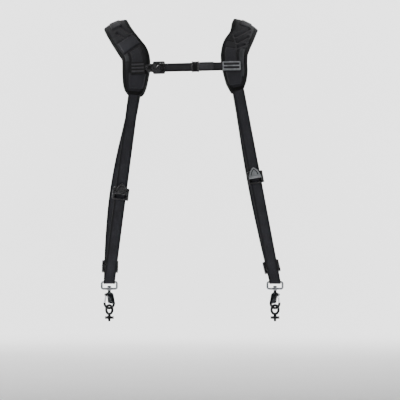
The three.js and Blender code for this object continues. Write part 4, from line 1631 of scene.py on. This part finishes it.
@dataclass
class CamLock:
    """A cam lock: a body round the webbing and an arched lever on a pin between two ears."""

    side: Side
    kind: str
    place: Place
    width: float = 36
    pivot_out: float = 4.7
    front: float = -6.1
    pin: float = 1.2
    reach: float = 12.0
    arch: tuple[tuple[float, float], ...] = ((12.6, 2.5), (10.6, 8.0), (7.2, 14.6), (0.6, 21.2))
    recess: tuple[tuple[float, float], ...] = ((8.6, 4.5), (7.0, 9.5), (4.2, 14.0), (0.3, 17.6))

    def build(self) -> None:
        """Make the body, the pin's heads and the lever with its rim and a dark bar of painted groove shade."""
        stem = f"{self.side.label}_{self.kind}"
        body = moulded(f"{stem}_lock_body", f"{stem}_lock_frame", PLASTIC.material, 0.7)
        settled(body, "harness", "plastic", f"{stem}_lock_body")
        carrier = f"{stem}_lever"
        # The right front lever is painted grey as a painted highlight.
        finish = HIGHLIT_PLASTIC if (self.side, self.kind) == (Side.RIGHT, "front") else PLASTIC
        lever = moulded(f"{stem}_lock_lever", f"{stem}_lock_cam_lever", finish.material, 0.55)
        carve(lever, self.place, *self.shoulders())
        settled(lever, carrier, "plastic", f"{stem}_lock_lever")
        settled(self.chevron(self.arch, 0.95, f"{stem}_lever_rim", finish), carrier, "plastic")
        # A dark matt rubber bar along the groove inside the rim: painted shade of the groove.
        settled(self.chevron(self.recess, 1.0, f"{stem}_lever_inlay", RUBBER), carrier, "plastic")
        settled(self.pin_heads(stem), carrier, "metal")

    def shoulders(self) -> list[Array]:
        """Straight cutters outside the pointed arch, one beyond each of its sides.

        Returns:
            The cutters.
        """
        cutters = []
        for sign in (-1, 1):
            for row, (low, high) in enumerate(zip(self.arch[:-1], self.arch[1:])):
                start, stop = np.array([sign * low[0], low[1]]), np.array([sign * high[0], high[1]])
                ahead = unit(stop - start)
                out = sign * np.array([ahead[1], -ahead[0]]) * self.reach
                start, stop = start - ahead * min(row, 1) * 3, stop + ahead * self.reach / 2
                corners = rounded_outline([start, stop, stop + out, start + out], 0.1, 2)
                cutters.append(plate(corners, 40, 0.01))
        return cutters

    def chevron(
        self, arch: Sequence[tuple[float, float]], radius: float, name: str, finish: Finish
    ) -> Object:
        """A round bar on the lever's face that follows an arch and is bent at its tip.

        Args:
            arch: (X, Z) of the arch's right half, from its foot to its tip.
            radius: the bar's radius.
            name: name of the piece.
            finish: its finish.

        Returns:
            The piece.
        """
        left, right = [(-x, z) for x, z in arch[:-1]], [(x, z) for x, z in arch[-2::-1]]
        knots = np.array([*left, (0.0, arch[-1][1]), *right])
        path = np.stack([knots[:, 0], np.full(len(knots), self.front + 0.25), knots[:, 1]], axis=1)
        middle = np.array([0.0, 0.0, knots[0, 1]])
        path = middle + (path - middle) * [1 - radius / knots[-1, 0], 1, 1 - radius / knots[:, 1].max()]
        path = spline(path, even_shares(path, 48))
        return Shell().grid(tube(path, radius, 12), place=self.place).piece(name, [finish.material])

    def pin_heads(self, stem: str) -> Object:
        """The domed ends of the lever's pin in the ears.

        Args:
            stem: start of the name.

        Returns:
            The piece.
        """
        shell = Shell()
        angle = np.linspace(0, np.pi / 2, 6)
        for sign in (-1, 1):
            reach = np.concatenate([[-1.2], 0.5 * np.sin(angle)]) + self.width / 2 - 0.4
            radius = self.pin * np.concatenate([[1.0], np.cos(angle) * 0.98 + 0.02])
            ring = circle(1, 16)
            grid = np.stack([
                sign * np.broadcast_to(reach[:, None], (7, 16)),
                -self.pivot_out + radius[:, None] * ring[:, 0],
                radius[:, None] * ring[:, 1],
            ], axis=-1)
            shell.grid(grid, place=self.place)
        return shell.piece(f"{stem}_lever_pin_ends", [STEEL.material])


# What hangs on the slings, in axes whose origin is the middle of the eye's top bar


def rounded_outline(corners: Sequence[tuple[float, float]], radius: float, steps: int = 4) -> Array:
    """An outline of (radius, height) corners with each corner cut round.

    Each corner gives way to a quadratic curve between two points at the rounding's distance.

    Args:
        corners: the corners, in order round the outline.
        radius: distance from the corner at which the rounding starts.
        steps: points of each rounding.

    Returns:
        One row for each point.
    """
    points = np.array(corners, dtype=float)
    before, after = np.roll(points, 1, axis=0) - points, np.roll(points, -1, axis=0) - points
    reach = [np.minimum(radius, np.linalg.norm(v, axis=1) * 0.45)[:, None] for v in (before, after)]
    start, stop = points + unit(before) * reach[0], points + unit(after) * reach[1]
    t = np.linspace(0, 1, steps)[None, :, None]
    curve = (1 - t) ** 2 * start[:, None] + 2 * t * (1 - t) * points[:, None] + t**2 * stop[:, None]
    return curve.reshape(-1, 2)


def ring_outline(
    inner: float, outer: float, top: float, bottom: float, radius: float, steps: int = 4
) -> Array:
    """Outline of a ring's or disc's section, a rectangle of radii and heights with round corners."""
    return rounded_outline([(inner, top), (outer, top), (outer, bottom), (inner, bottom)], radius, steps)


def tube(path: Array, radius: float, count: int = 20, looped: bool = False) -> Array:
    """A round bar along a path in the XZ plane: a circle carried along it.

    Args:
        path: points of its middle line.
        radius: its radius.
        count: points round it.
        looped: whether the path closes on itself.

    Returns:
        A grid of points.
    """
    ahead = tangents(path, looped)
    depth = np.broadcast_to([0.0, 1.0, 0.0], path.shape)
    return swept(path, np.cross(depth, ahead), depth, circle(radius, count))


def grown(outline: Array, reach: float) -> Array:
    """An outline with each point moved out, square to the outline.

    Args:
        outline: points round it.
        reach: distance to move them.

    Returns:
        The new outline.
    """
    ahead = unit(np.roll(outline, -1, axis=0) - np.roll(outline, 1, axis=0))
    out = np.stack([ahead[:, 1], -ahead[:, 0]], axis=1)
    turns = np.sum(outline[:, 0] * np.roll(outline[:, 1], -1) - outline[:, 1] * np.roll(outline[:, 0], -1))
    return outline + out * reach * math.copysign(1.0, turns)


def plate(outline: Array, thickness: float, rim: float) -> Array:
    """A flat plate: its outline in X and Z through a thickness along Y, with quarter-round rims.

    Args:
        outline: points round the plate.
        thickness: distance between its faces.
        rim: radius of the rims; a negative one flares out, for a cutter that breaks the edges.

    Returns:
        A grid of points.
    """
    t = np.linspace(0, np.pi / 2, 4)
    depth = thickness / 2 - abs(rim) * (1 - np.sin(t))
    inset = rim * (1 - np.cos(np.pi / 2 - t))
    depth, inset = np.concatenate([-depth[::-1], depth]), np.concatenate([inset[::-1], inset])
    if rim < 0:
        depth, inset = np.concatenate([[depth[0] - 1], depth, [depth[-1] + 1]]), np.pad(inset, 1, "edge")
    rings = [grown(outline, -reach) for reach in inset]
    return np.stack([np.stack([r[:, 0], np.full(len(r), y), r[:, 1]], axis=1) for r, y in zip(rings, depth)])


def rectangle(x: float, z: float, length: float, height: float, radius: float) -> Array:
    """Outline of a rectangle with round corners, given its lower left corner."""
    corners = [(x, z), (x + length, z), (x + length, z + height), (x, z + height)]
    return rounded_outline(corners, radius, 6)


@dataclass
class SwivelEye:
    """Rectangular eye of round bar with the swivel's boss in its bottom bar."""

    side: Side
    place: Place
    bar: float = 4.5
    window: tuple[float, float] = (29.0, 10.7)
    corner: float = 4.0
    boss: tuple[float, float] = (10.0, 6.5)
    bore: float = 5.6

    def build(self) -> None:
        """Make the eye."""
        drop = self.window[1] + self.bar
        inset = (self.window[0] + self.bar) / 2 - self.corner
        r = self.corner
        low, high = -drop + r, -r
        path = np.vstack([
            arc(-inset, low, r, 180, 270, 10),
            np.linspace([-inset, 0, -drop], [inset, 0, -drop], 12)[1:-1],
            arc(inset, low, r, 270, 360, 10),
            arc(inset, high, r, 0, 90, 10),
            np.linspace([inset, 0, 0], [-inset, 0, 0], 12)[1:-1],
            arc(-inset, high, r, 90, 180, 10),
        ])
        shell = Shell().grid(tube(path, self.bar / 2, 24, looped=True), looped=True, place=self.place)
        inner, outer = self.bore / 2, self.boss[0] / 2
        top, bottom = -drop + self.boss[1] / 2, -drop - self.boss[1] / 2
        shell.grid(turned(ring_outline(inner, outer, top, bottom, 0.9), 40), looped=True, place=self.place)
        name = f"{self.side.label}_hook_eye"
        settled(shell.piece(name + "_bar", [STEEL.material]), "harness", "metal", name)


@dataclass
class SnapHook:
    """Snap hook that turns on a rivet in the eye's boss, with a sprung gate."""

    side: Side
    place: Place
    wire: float = 5.5
    half: float = 11.0
    top_half: float = 7.5
    corner: float = 5.0
    top_bar: float = -25.5
    bow_bar: float = -58.0
    nose: float = -45.5
    pivot: float = -28.25
    spine: float = 4.0
    neck_top: float = -18.75
    head: tuple[float, float] = (-11.65, -8.65)

    def body(self) -> Object:
        """Neck, rivet, wire, spine and the two cheeks that hold the gate's pin.

        Returns:
            The piece.
        """
        inset, middle = self.top_half - self.corner, self.bow_bar + self.half
        shoulder = self.top_bar - self.corner
        path = np.vstack([
            arc(-inset, shoulder, self.corner, 180, 90, 9),
            arc(inset, shoulder, self.corner, 90, 0, 9),
            np.linspace([self.top_half, 0, shoulder], [self.half, 0, middle], 14)[1:-1],
            arc(0, middle, self.half, 0, -180, 30),
            [[-self.half, 0, self.nose - 0.8], [-self.half, 0, self.nose]],
        ])
        shell = Shell().grid(tube(path, self.wire / 2, 24), place=self.place)
        low = self.top_bar
        neck = [(3.4, low - 1.5), (3.9, low + 2.4), (3.1, -20.8), (3.7, -19.6), (3.6, self.neck_top)]
        shell.grid(turned(np.array(neck), 32), place=self.place)
        shell.grid(turned(np.array([(2.5, -21.0), (2.5, self.head[0] + 1.0)]), 24), place=self.place)
        base, top = self.head
        dome = [(3.9, base), (4.5, base + 0.5), (4.5, top - 1.4), (3.9, top - 0.6), (2.6, top - 0.1),
                (0.8, top)]
        shell.grid(turned(np.array(dome), 32), place=self.place)
        for sign in (-1, 1):
            self.disc(shell, 3.2, sign * 1.7, sign * 3.5)
        self.web(shell)
        piece = shell.piece(f"{self.side.label}_hook_forging", [BLACK_STEEL.material])
        slot = [(-11.5, -38.25), (-5.0, -38.25), (-5.0, self.pivot + 2.5), (-11.5, self.pivot + 2.5)]
        carve(piece, self.place, plate(np.array(slot), 3.4, 0.01))
        return settled(piece, f"{self.side.label}_hook", "dark_metal", f"{self.side.label}_hook_body")

    def web(self, shell: Shell) -> None:
        """Add the flat spine."""
        outline = rounded_outline([
            (-4.6, self.top_bar), (-4.6, -31.0), (-2.2, -46.5), (9.5, -49.0), (self.half, -48.0),
            (self.top_half, self.top_bar - self.corner), (6.0, self.top_bar),
        ], 1.6, 5)
        shell.grid(plate(outline, self.spine, 0.6), place=self.place)

    def disc(self, shell: Shell, radius: float, start: float, stop: float, edge: float = 0.45) -> None:
        """Add a disc on the gate's pin line, between two distances along Y, with rounded rims.

        Args:
            shell: shell that gets the disc.
            radius: its radius.
            start: Y of one face.
            stop: Y of the other face.
            edge: radius of its rims.
        """
        sign = math.copysign(1.0, stop - start)
        depth = np.array([start, start + sign * edge * 0.3, start + sign * edge, stop - sign * edge,
                          stop - sign * edge * 0.3, stop])
        wide = radius - edge * np.array([1.0, 0.3, 0.0, 0.0, 0.3, 1.0])
        ring = circle(1, 28)
        grid = np.stack([
            -self.top_half + wide[:, None] * ring[:, 0],
            np.broadcast_to(depth[:, None], (6, 28)),
            self.pivot + wide[:, None] * ring[:, 1],
        ], axis=-1)
        shell.grid(grid, place=self.place)

    def gate(self) -> Object:
        """The gate: a tongue on the pin, a narrow stem and a bar whose end meets the nose.

        Returns:
            The piece.
        """
        shell = Shell()
        self.disc(shell, 2.2, -1.4, 1.4, 0.3)
        self.disc(shell, 0.95, -3.25, 3.25, 0.3)
        out, down = self.half - self.top_half, self.pivot - self.nose
        lean, length = math.atan2(out, down), math.hypot(out, down) - 0.6
        heights = np.array([-1.0, -3.3, -3.9, -4.5, -5.6, -11.0, -15.8, -16.5, -length])
        deep = np.array([1.3, 1.3, 1.9, 2.4, 2.6, 2.6, 2.6, 2.45, 2.0])
        wide = np.array([1.4, 1.4, 1.45, 1.5, 1.5, 1.5, 1.5, 1.4, 1.1])
        square = circle(1, 24)
        square = np.sign(square) * np.abs(square) ** 0.4
        x = wide[:, None] * square[:, 0]
        grid = np.stack([
            -self.top_half + x * math.cos(lean) + heights[:, None] * math.sin(lean),
            deep[:, None] * square[:, 1],
            self.pivot - x * math.sin(lean) + heights[:, None] * math.cos(lean),
        ], axis=-1)
        shell.grid(grid, place=self.place)
        piece = shell.piece(f"{self.side.label}_hook_gate_bar", [BRIGHT_STEEL.material])
        return settled(piece, f"{self.side.label}_gate", "metal", f"{self.side.label}_hook_gate")

    def build(self) -> None:
        """Make the body and the gate."""
        self.body()
        self.gate()


def carve(piece: Object, place: Place, *grids: Array) -> None:
    """Cut closed grids, given in a place's axes, out of a piece and even out its normals.

    Args:
        piece: the piece.
        place: axes in which the grids are given.
        grids: the closed grids.
    """
    shell = Shell()
    for grid in grids:
        shell.grid(grid, place=place)
    cutter = shell.piece("cutter", [])
    cut = piece.modifiers.new("Cut", "BOOLEAN")
    cut.operation, cut.solver, cut.use_self, cut.object = "DIFFERENCE", "EXACT", True, cutter
    piece.data = evened(piece)
    bpy.data.objects.remove(cutter)


def evened(piece: Object) -> Mesh:
    """The piece's finished mesh, with each large flat face keeping its own normal.

    Args:
        piece: the piece.

    Returns:
        The new mesh.
    """
    finished = evaluated(piece)
    piece.modifiers.clear()
    finished.shade_smooth()
    finished.set_sharp_from_angle(angle=math.radians(40))
    piece.data = finished
    normals = piece.modifiers.new("Normals", "WEIGHTED_NORMAL")
    normals.keep_sharp, normals.weight = True, 100
    finished = evaluated(piece)
    piece.modifiers.clear()
    finished.name = piece.name
    return finished


@dataclass
class RingBolt:
    """Fastener under the hook: a ring on a knurled disc with a threaded stud and a washer."""

    side: Side
    place: Place
    wire: float = 5.8
    radius: float = 9.6
    middle: float = -61.15
    disc: float = 20.0
    disc_top: float = -75.85
    disc_bottom: float = -79.35
    washer: tuple[float, float] = (-79.65, -81.65)
    stud: float = 6.2
    stud_end: float = -87.15
    pitch: float = 1.27

    def build(self) -> None:
        """Make the bolt and its washer."""
        angle = np.linspace(0, 2 * np.pi, 64, endpoint=False)
        flat = np.zeros(64)
        # The ring hangs square to the bow, in the YZ plane
        path = np.stack([flat, self.radius * np.cos(angle), self.middle + self.radius * np.sin(angle)], axis=1)
        ahead = tangents(path, looped=True)
        x = np.broadcast_to([1.0, 0.0, 0.0], path.shape)
        ring = swept(path, x, np.cross(x, ahead), circle(self.wire / 2, 24))
        shell = Shell().grid(ring, looped=True, place=self.place)
        neck = self.middle - self.radius
        post = np.array([(2.6, neck), (2.9, neck - 2.2), (3.3, neck - 3.6), (4.6, self.disc_top + 0.3),
                         (6.5, self.disc_top - 0.2)])
        shell.grid(turned(spline(np.column_stack([post, np.zeros(5)]), np.linspace(0, 1, 14))[:, :2], 40),
                   place=self.place)
        rim = ring_outline(0.5, self.disc / 2, self.disc_top, self.disc_bottom, 0.7, 5)
        teeth = 0.22 * np.sign(np.sin(np.arange(192) * 2 * np.pi / 4 + 0.8))
        teeth = np.where(rim[:, :1] > self.disc / 2 - 0.5, teeth - 0.22, 0.0)
        shell.grid(turned(rim, 192, teeth), looped=False, place=self.place)
        height = np.linspace(self.disc_bottom + 0.5, self.stud_end, 44)
        taper = np.interp(height, [self.stud_end, self.stud_end + 1.0], [0.8, 1.0])
        around = np.arange(36) * 2 * np.pi / 36
        thread = -0.3 + 0.3 * np.cos(2 * np.pi * height[:, None] / self.pitch + around)
        outline = np.column_stack([self.stud / 2 * taper, height])
        shell.grid(turned(outline, 36, thread), place=self.place)
        name, body = f"{self.side.label}_ring_bolt", f"{self.side.label}_ring"
        settled(shell.piece(name + "_turned", [BLACK_STEEL.material], 45), body, "dark_metal", name)
        inner, outer = self.stud / 2 + 0.3, self.disc / 2
        lip = ring_outline(inner, outer, *self.washer, 0.5)
        washer = Shell().grid(turned(lip, 64), looped=True, place=self.place)
        name = f"{self.side.label}_ring_washer"
        settled(washer.piece(name + "_rubber", [RUBBER.material]), body, "rubber", name)


# Chest strap and back strap


def box_place(node: str) -> tuple[Place, Array]:
    """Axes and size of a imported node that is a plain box: longest side first, thinnest last.

    Args:
        node: name of the node.

    Returns:
        The place, with X to the right and Z towards the chest side, and the three sizes.
    """
    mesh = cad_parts[node].data
    flat = np.empty(len(mesh.vertices) * 3, dtype=np.float32)
    mesh.vertices.foreach_get("co", flat)
    corners = np.unique(np.round(flat.reshape(-1, 3).astype(float) / MM, 4), axis=0)
    middle = (corners.min(axis=0) + corners.max(axis=0)) / 2
    axes = np.linalg.svd(corners - corners.mean(axis=0), full_matrices=False)[2]
    size = np.ptp((corners - middle) @ axes.T, axis=0)
    axes[0] *= np.sign(axes[0, 0])
    axes[1] *= np.sign(axes[1, 2])
    axes[2] = np.cross(axes[0], axes[1])
    return Place(corners.mean(axis=0), axes), size


@dataclass
class ChestStrap:
    """Sliders on both rails, the buckle, the webbing with its keeper and its doubled end."""

    stitch: float = 2.9
    fit: float = 0.3
    slider_bar: float = 3.0
    buckle_thickness: float = 7.0
    socket: tuple[float, float] = (22.0, 15.6)
    plug: tuple[float, float] = (26.8, 27.5)
    overlap: float = 5.3
    plug_bar: float = 2.6
    plug_slot: float = 3.2
    keeper_size: tuple[float, float, float] = (16.0, 26.0, 6.0)
    keeper_place: float = 0.03

    def band(self, node: str, name: str, finish: Finish, wave: float, before: float = 0.0) -> None:
        """A flat webbing in place of a packed box.

        The middle line rises and falls by half a sine wave, and the section has round edges.

        Args:
            node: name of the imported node.
            name: name of the piece.
            finish: its finish.
            wave: height of the wave.
            before: length that it has beyond the box's left end.
        """
        place, size = box_place(node)
        x = np.linspace(-size[0] / 2 - before, size[0] / 2, 120)
        rise = wave * np.sin(np.pi * (x / size[0] + 0.5)) ** 2
        path = np.stack([x, 0 * x, rise], axis=1)
        ahead = tangents(path)
        side = np.broadcast_to([0.0, 1.0, 0.0], path.shape)
        section = flat_section(size[1], size[2], 14, 5)
        grid = swept(path, side, np.cross(ahead, side), section)
        shell = Shell().grid(grid, along=x, around=section[:, 0], place=place)
        settled(shell.piece(name, [finish.material], 60), "harness", "webbing", node)

    def plated(self, outline: Array, rim: float, flat: Place, name: str, finish: Finish) -> Object:
        """A plate of the buckle's thickness as a piece of its own."""
        shell = Shell().grid(plate(outline, self.buckle_thickness, rim), place=flat)
        return shell.piece(name, [finish.material])

    def slider(self, side: Side) -> None:
        """A slider: a frame with round rims, and the rail's webbing bulging in its slots.

        Args:
            side: side on which it sits.
        """
        node = f"{side.label}_sternum_slider"
        place, size = box_place(node)
        count = int((size[1] - self.slider_bar) // (2.6 * self.slider_bar))
        slot = (size[1] - self.slider_bar * (count + 1)) / count
        half = size[0] / 2 - self.slider_bar
        # The right frame is painted grey and the left folds are lighter webbing: both are painted highlights.
        frame_finish, fold = (RUBBER, HIGHLIT_STRAP) if side is Side.LEFT else (HIGHLIT_PLASTIC, STRAP)
        outline = rectangle(-size[0] / 2, -size[1] / 2, size[0], size[1], 2.5)
        lows = [-size[1] / 2 + self.slider_bar + k * (slot + self.slider_bar) for k in range(count)]
        flat = place.laid_flat()
        shell = Shell().grid(plate(outline, size[2], 1.1), place=flat)
        body = shell.piece(f"{node}_frame", [frame_finish.material])
        carve(body, flat, *[plate(rectangle(-half, low, 2 * half, slot, 1.0), size[2], -0.5) for low in lows])
        settled(body, "harness", "plastic", node)
        shell = Shell()
        x = np.linspace(-half - 0.5, half + 0.5, 40)
        for low in lows:
            path = np.stack([x, 0 * x + low + slot / 2, 0 * x + 0.35], axis=1)
            up, out = np.tile([0.0, 1.0, 0.0], (40, 1)), np.tile([0.0, 0.0, 1.0], (40, 1))
            section = circle(1, 20) * [slot / 2 + 0.1, size[2] / 2 + 0.6]
            around = np.arange(20) * (slot + size[2]) * 1.5 / 20
            shell.grid(swept(path, up, out, section), along=x, around=around, place=place)
        settled(shell.piece(f"{node}_webbing_folds", [fold.material], 60), "harness", "webbing")

    def buckle(self) -> None:
        """The fastened buckle: a socket between the plug's arms, and the plug with its slots."""
        place, size = box_place("chest_webbing")
        flat = place.laid_flat()
        length, width = self.plug
        start = -size[0] / 2 - self.fit - length
        reach, height = self.socket
        left = start - reach + self.overlap
        thickness = self.buckle_thickness
        outline = rounded_outline([
            (left, -0.36 * height), (left + 0.3 * reach, -height / 2), (left + reach, -height / 2),
            (left + reach, height / 2), (left + 0.3 * reach, height / 2), (left, 0.36 * height),
        ], 2.2, 6)
        socket = self.plated(outline, 1.8, flat, "buckle_socket_shell", PLASTIC)
        near, far = left + 5, left + 13
        rest = rounded_outline([(near, -3.2), (far, -4.6), (far, 4.6), (near, 3.2)], 1.4, 6)
        press = Place(flat.origin + flat.axes[1] * -thickness / 2, flat.axes)
        carve(socket, press, plate(rest, 1.6, -0.5))
        settled(socket, "harness", "plastic", "buckle_socket")
        outline = rectangle(start, -width / 2, length, width, 4.0)
        plug = self.plated(outline, 1.6, flat, "buckle_plug_frame", PLASTIC)
        bar, slot, slot_half = self.plug_bar, self.plug_slot, size[1] / 2 + 1
        last = start + length - bar - slot
        first = last - bar - slot
        tip, base = start + self.overlap + self.fit + bar, first - bar / 2
        wide, fit = 0.8 * slot_half, self.fit
        hole = rounded_outline([(tip, -0.5), (base, -wide), (base, wide), (tip, 0.5)], 1.2, 5)
        notch = rectangle(start - 4, -height / 2 - fit, 4 + self.overlap + fit, height + 2 * fit, 0.6)
        slots = [rectangle(x, -slot_half, slot, 2 * slot_half, 0.8) for x in (first, last)]
        cuts = [plate(cut, thickness, -0.5) for cut in (hole, *slots)]
        carve(plug, flat, *cuts, plate(notch, thickness, -0.4))
        settled(plug, "harness", "plastic", "buckle_plug")

    def keeper(self) -> None:
        """The keeper: a flat tube of rounded section round the webbing, with raised end rims."""
        place, size = box_place("chest_webbing")
        length, width, thickness = self.keeper_size
        share = np.array([-0.5, -0.47, -0.4, -0.36, -0.3])
        x = self.keeper_place * size[0] + length * np.append(share, -share[::-1])
        lift = np.array([-0.5, 0.0, 0.0, -0.2, -0.7])
        lift = np.append(lift, lift[::-1])[:, None]
        section = flat_section(width, thickness, 14, 6)
        grid = np.stack([
            np.broadcast_to(x[:, None], (len(x), len(section))),
            section[:, 0] * (1 + 2 * lift / width),
            section[:, 1] * (1 + 2 * lift / thickness),
        ], axis=-1)
        loop = Shell().grid(grid, place=place).piece("chest_keeper_loop", [PLASTIC.material])
        gap = rectangle(x[0] - 1, -size[2] / 2 - self.fit, length + 2, size[2] + 2 * self.fit, 0.1)
        carve(loop, place, plate(gap, size[1] + 2 * self.fit, 0.01))
        settled(loop, "harness", "plastic", "chest_keeper")

    def threads(self, node: str, name: str, rows: Sequence[tuple[float, float, float, float]]) -> None:
        """Stitches on a packed box's front: rows of (x, y) to (x, y) from its middle.

        Args:
            node: the box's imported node.
            name: name of the piece.
            rows: the rows.
        """
        place, size = box_place(node)
        shell = Shell()
        ring = circle(1, 6)
        for x0, y0, x1, y1 in rows:
            start, stop = np.array([x0, y0]), np.array([x1, y1])
            length = np.linalg.norm(stop - start)
            ahead = (stop - start) / length
            for middle in np.arange(self.stitch / 2, length, self.stitch):
                s = np.linspace(-0.95, 0.95, 5)
                wide = 0.26 * np.sqrt(1.05 - (s / 0.95) ** 2)
                at = start + ahead * (middle + s)[:, None]
                across = np.array([-ahead[1], ahead[0]])
                flat = at[:, None] + across * (wide[:, None] * ring[:, 0])[..., None]
                up = size[2] / 2 + 0.08 + wide[:, None] * ring[:, 1]
                shell.grid(np.concatenate([flat, up[..., None]], axis=-1), place=place)
        settled(shell.piece(name, [THREAD.material]), "harness", "webbing")

    def build(self) -> None:
        """Make all pieces of the chest strap."""
        for side in Side:
            self.slider(side)
        self.buckle()
        self.keeper()
        self.band("chest_webbing", "chest_webbing_woven", STRAP, 0.0, self.plug[0] / 2 - self.plug_bar)
        # The doubled end takes the lighter webbing, a painted highlight on its bulge.
        self.band("chest_sleeve", "chest_webbing_doubled", HIGHLIT_STRAP, 0.25)
        self.threads("chest_sleeve", "chest_stitching", (
            (13.5, -8.2, 13.5, 8.2), (11.3, -8.2, 11.3, 8.2),
            (-14.0, 8.4, 10.5, 8.4), (-14.0, -8.4, 10.5, -8.4),
        ))


@dataclass
class BackStrap:
    """Plain webbing between the rears of the two pads, with its ends sewn on them."""

    runs: dict[Side, PadRun]
    share: float = 30.5 / 36
    width: float = 20
    thickness: float = 2
    bow: float = 6

    def build(self) -> None:
        """Make the strap along a spline over both pads and through the bowed middle."""
        share = np.array([self.share])

        def on_pad(side: Side, column: float) -> Array:
            """A point over a pad."""
            run = self.runs[side]
            above = run.height(np.array([[column]])) + 0.5 + self.thickness / 2
            return run.points(share, np.array([[column]]), above)[0, 0]

        left = [on_pad(Side.LEFT, c) for c in (-0.1, 0.1, 0.3)]
        right = [on_pad(Side.RIGHT, c) for c in (-0.3, -0.1, 0.1)]
        t = np.linspace(0.1, 0.9, 9)[:, None]
        middle = left[-1] + (right[0] - left[-1]) * t + np.array([0, self.bow, 0]) * np.sin(np.pi * t)
        knots = np.vstack([left, middle, right])
        path = spline(knots, even_shares(knots, 200))
        ahead = tangents(path)
        up = self.runs[Side.LEFT].stations(share).along[0] + self.runs[Side.RIGHT].stations(share).along[0]
        side = square_to(np.broadcast_to(up, path.shape), ahead)
        section = flat_section(self.width, self.thickness, 14, 5)
        grid = swept(path, side, np.cross(side, ahead), section)
        shell = Shell().grid(grid, along=run_lengths(path), around=section[:, 0])
        settled(shell.piece("back_strap_woven", [STRAP.material], 60), "harness", "webbing", "back_strap")


@dataclass
class Studio:
    """Pale floor that curves up into a backdrop, soft lights and the camera."""

    target: tuple[float, float] = (0.0431, -0.3795)
    distance: float = 14.0
    frame_width: float = 0.88
    front_depth: float = -0.105
    floor: float = -0.70

    def sweep(self) -> None:
        """Floor and backdrop in one sheet: flat, a quarter circle, then upright."""
        radius, back = 1.2, 2.4
        angle = np.linspace(-np.pi / 2, 0, 24)
        line = np.vstack([
            [[-9.0, 0.0], [-2.0, 0.0]],
            np.stack([back - radius + radius * np.cos(angle), radius + radius * np.sin(angle)], axis=1),
            [[back, 6.0]],
        ])
        x = np.linspace(-8, 8, 5)
        grid = np.stack([
            np.broadcast_to(x, (len(line), 5)),
            np.broadcast_to(line[:, :1], (len(line), 5)),
            np.broadcast_to(line[:, 1:] + self.floor, (len(line), 5)),
        ], axis=-1)
        rows, columns = np.arange(len(line) - 1)[:, None], np.arange(4)[None]
        first = rows * 5 + columns
        faces = np.stack([first, first + 1, first + 6, first + 5], axis=-1).reshape(-1, 4)
        mesh = bpy.data.meshes.new("sweep")
        mesh.from_pydata(grid.reshape(-1, 3).tolist(), [], faces.tolist())
        mesh.materials.append(self.paper())
        shown("studio_sweep", mesh, 80)

    def paper(self) -> Material:
        """Pale matt paper with a faint unevenness, clear from behind.

        Returns:
            The material.
        """
        material = bpy.data.materials.new("Pale paper")
        material.use_nodes = True
        w = Wiring(material.node_tree)
        shader = material.node_tree.nodes["Principled BSDF"]
        shader.inputs["Roughness"].default_value = 0.9
        cloud = w.noise(w.node("TexCoord").outputs["Object"], 3.0, 3)
        w.tree.links.new(w.mix(cloud, linear("f2f2f2"), linear("f8f8f8")), shader.inputs["Base Color"])
        behind = w.node("NewGeometry").outputs["Backfacing"]
        w.tree.links.new(w.math("SUBTRACT", 1.0, behind), shader.inputs["Alpha"])
        return material

    def light(
        self, name: str, place: tuple[float, float, float], size: float, watts: float,
        aim: Optional[tuple[float, float, float]] = None,
    ) -> None:
        """A square soft light that points at the harness, or at a place given as its aim.

        Args:
            name: its name.
            place: its place in metres.
            size: its width.
            watts: its power.
            aim: the place at which it points.
        """
        data = bpy.data.lights.new(name, "AREA")
        data.size, data.energy = size, watts
        lamp = bpy.data.objects.new(name, data)
        lamp.location = place
        way = Vector(aim or (self.target[0], 0.0, self.target[1] + 0.1)) - Vector(place)
        lamp.rotation_euler = way.to_track_quat("-Z", "Y").to_euler()
        bpy.context.collection.objects.link(lamp)

    def build(self) -> None:
        """Make the sweep, the lights, the world and the camera."""
        self.sweep()
        self.light("key", (-2.2, -3.0, 1.9), 2.0, 90)
        self.light("fill", (2.6, -2.6, 0.8), 2.6, 32)
        self.light("top", (0.2, -0.4, 2.6), 2.0, 14)
        self.light("rear", (0.0, 1.9, 1.6), 2.4, 16)
        for sign in (-1, 1):
            self.light("backdrop", (sign * 2.4, 0.7, 0.6), 1.6, 130, (-sign * 0.4, 2.4, -0.2))
        world = bpy.data.worlds.new("Studio")
        world.use_nodes = True
        backdrop = world.node_tree.nodes["Background"]
        backdrop.inputs["Color"].default_value = (1.0, 1.0, 1.0, 1.0)
        backdrop.inputs["Strength"].default_value = 0.4
        bpy.context.scene.world = world
        data = bpy.data.cameras.new("camera")
        data.lens = data.sensor_width * (self.distance + self.front_depth) / self.frame_width
        camera = bpy.data.objects.new("camera", data)
        camera.location = (self.target[0], -self.distance, self.target[1])
        camera.rotation_euler = (math.pi / 2, 0.0, 0.0)
        bpy.context.collection.objects.link(camera)
        bpy.context.scene.camera = camera


def main() -> None:
    """Build the studio, then the harness in order."""
    logging.basicConfig(level=logging.INFO, format="%(name)s: %(message)s")
    Studio().build()
    pads = {side: ShoulderPad(side) for side in Side}
    for side, pad in pads.items():
        pad.build()
        Sling(side, pad.run).build()
    ChestStrap().build()
    BackStrap({side: pad.run for side, pad in pads.items()}).build()


if __name__ == "__main__":
    main()
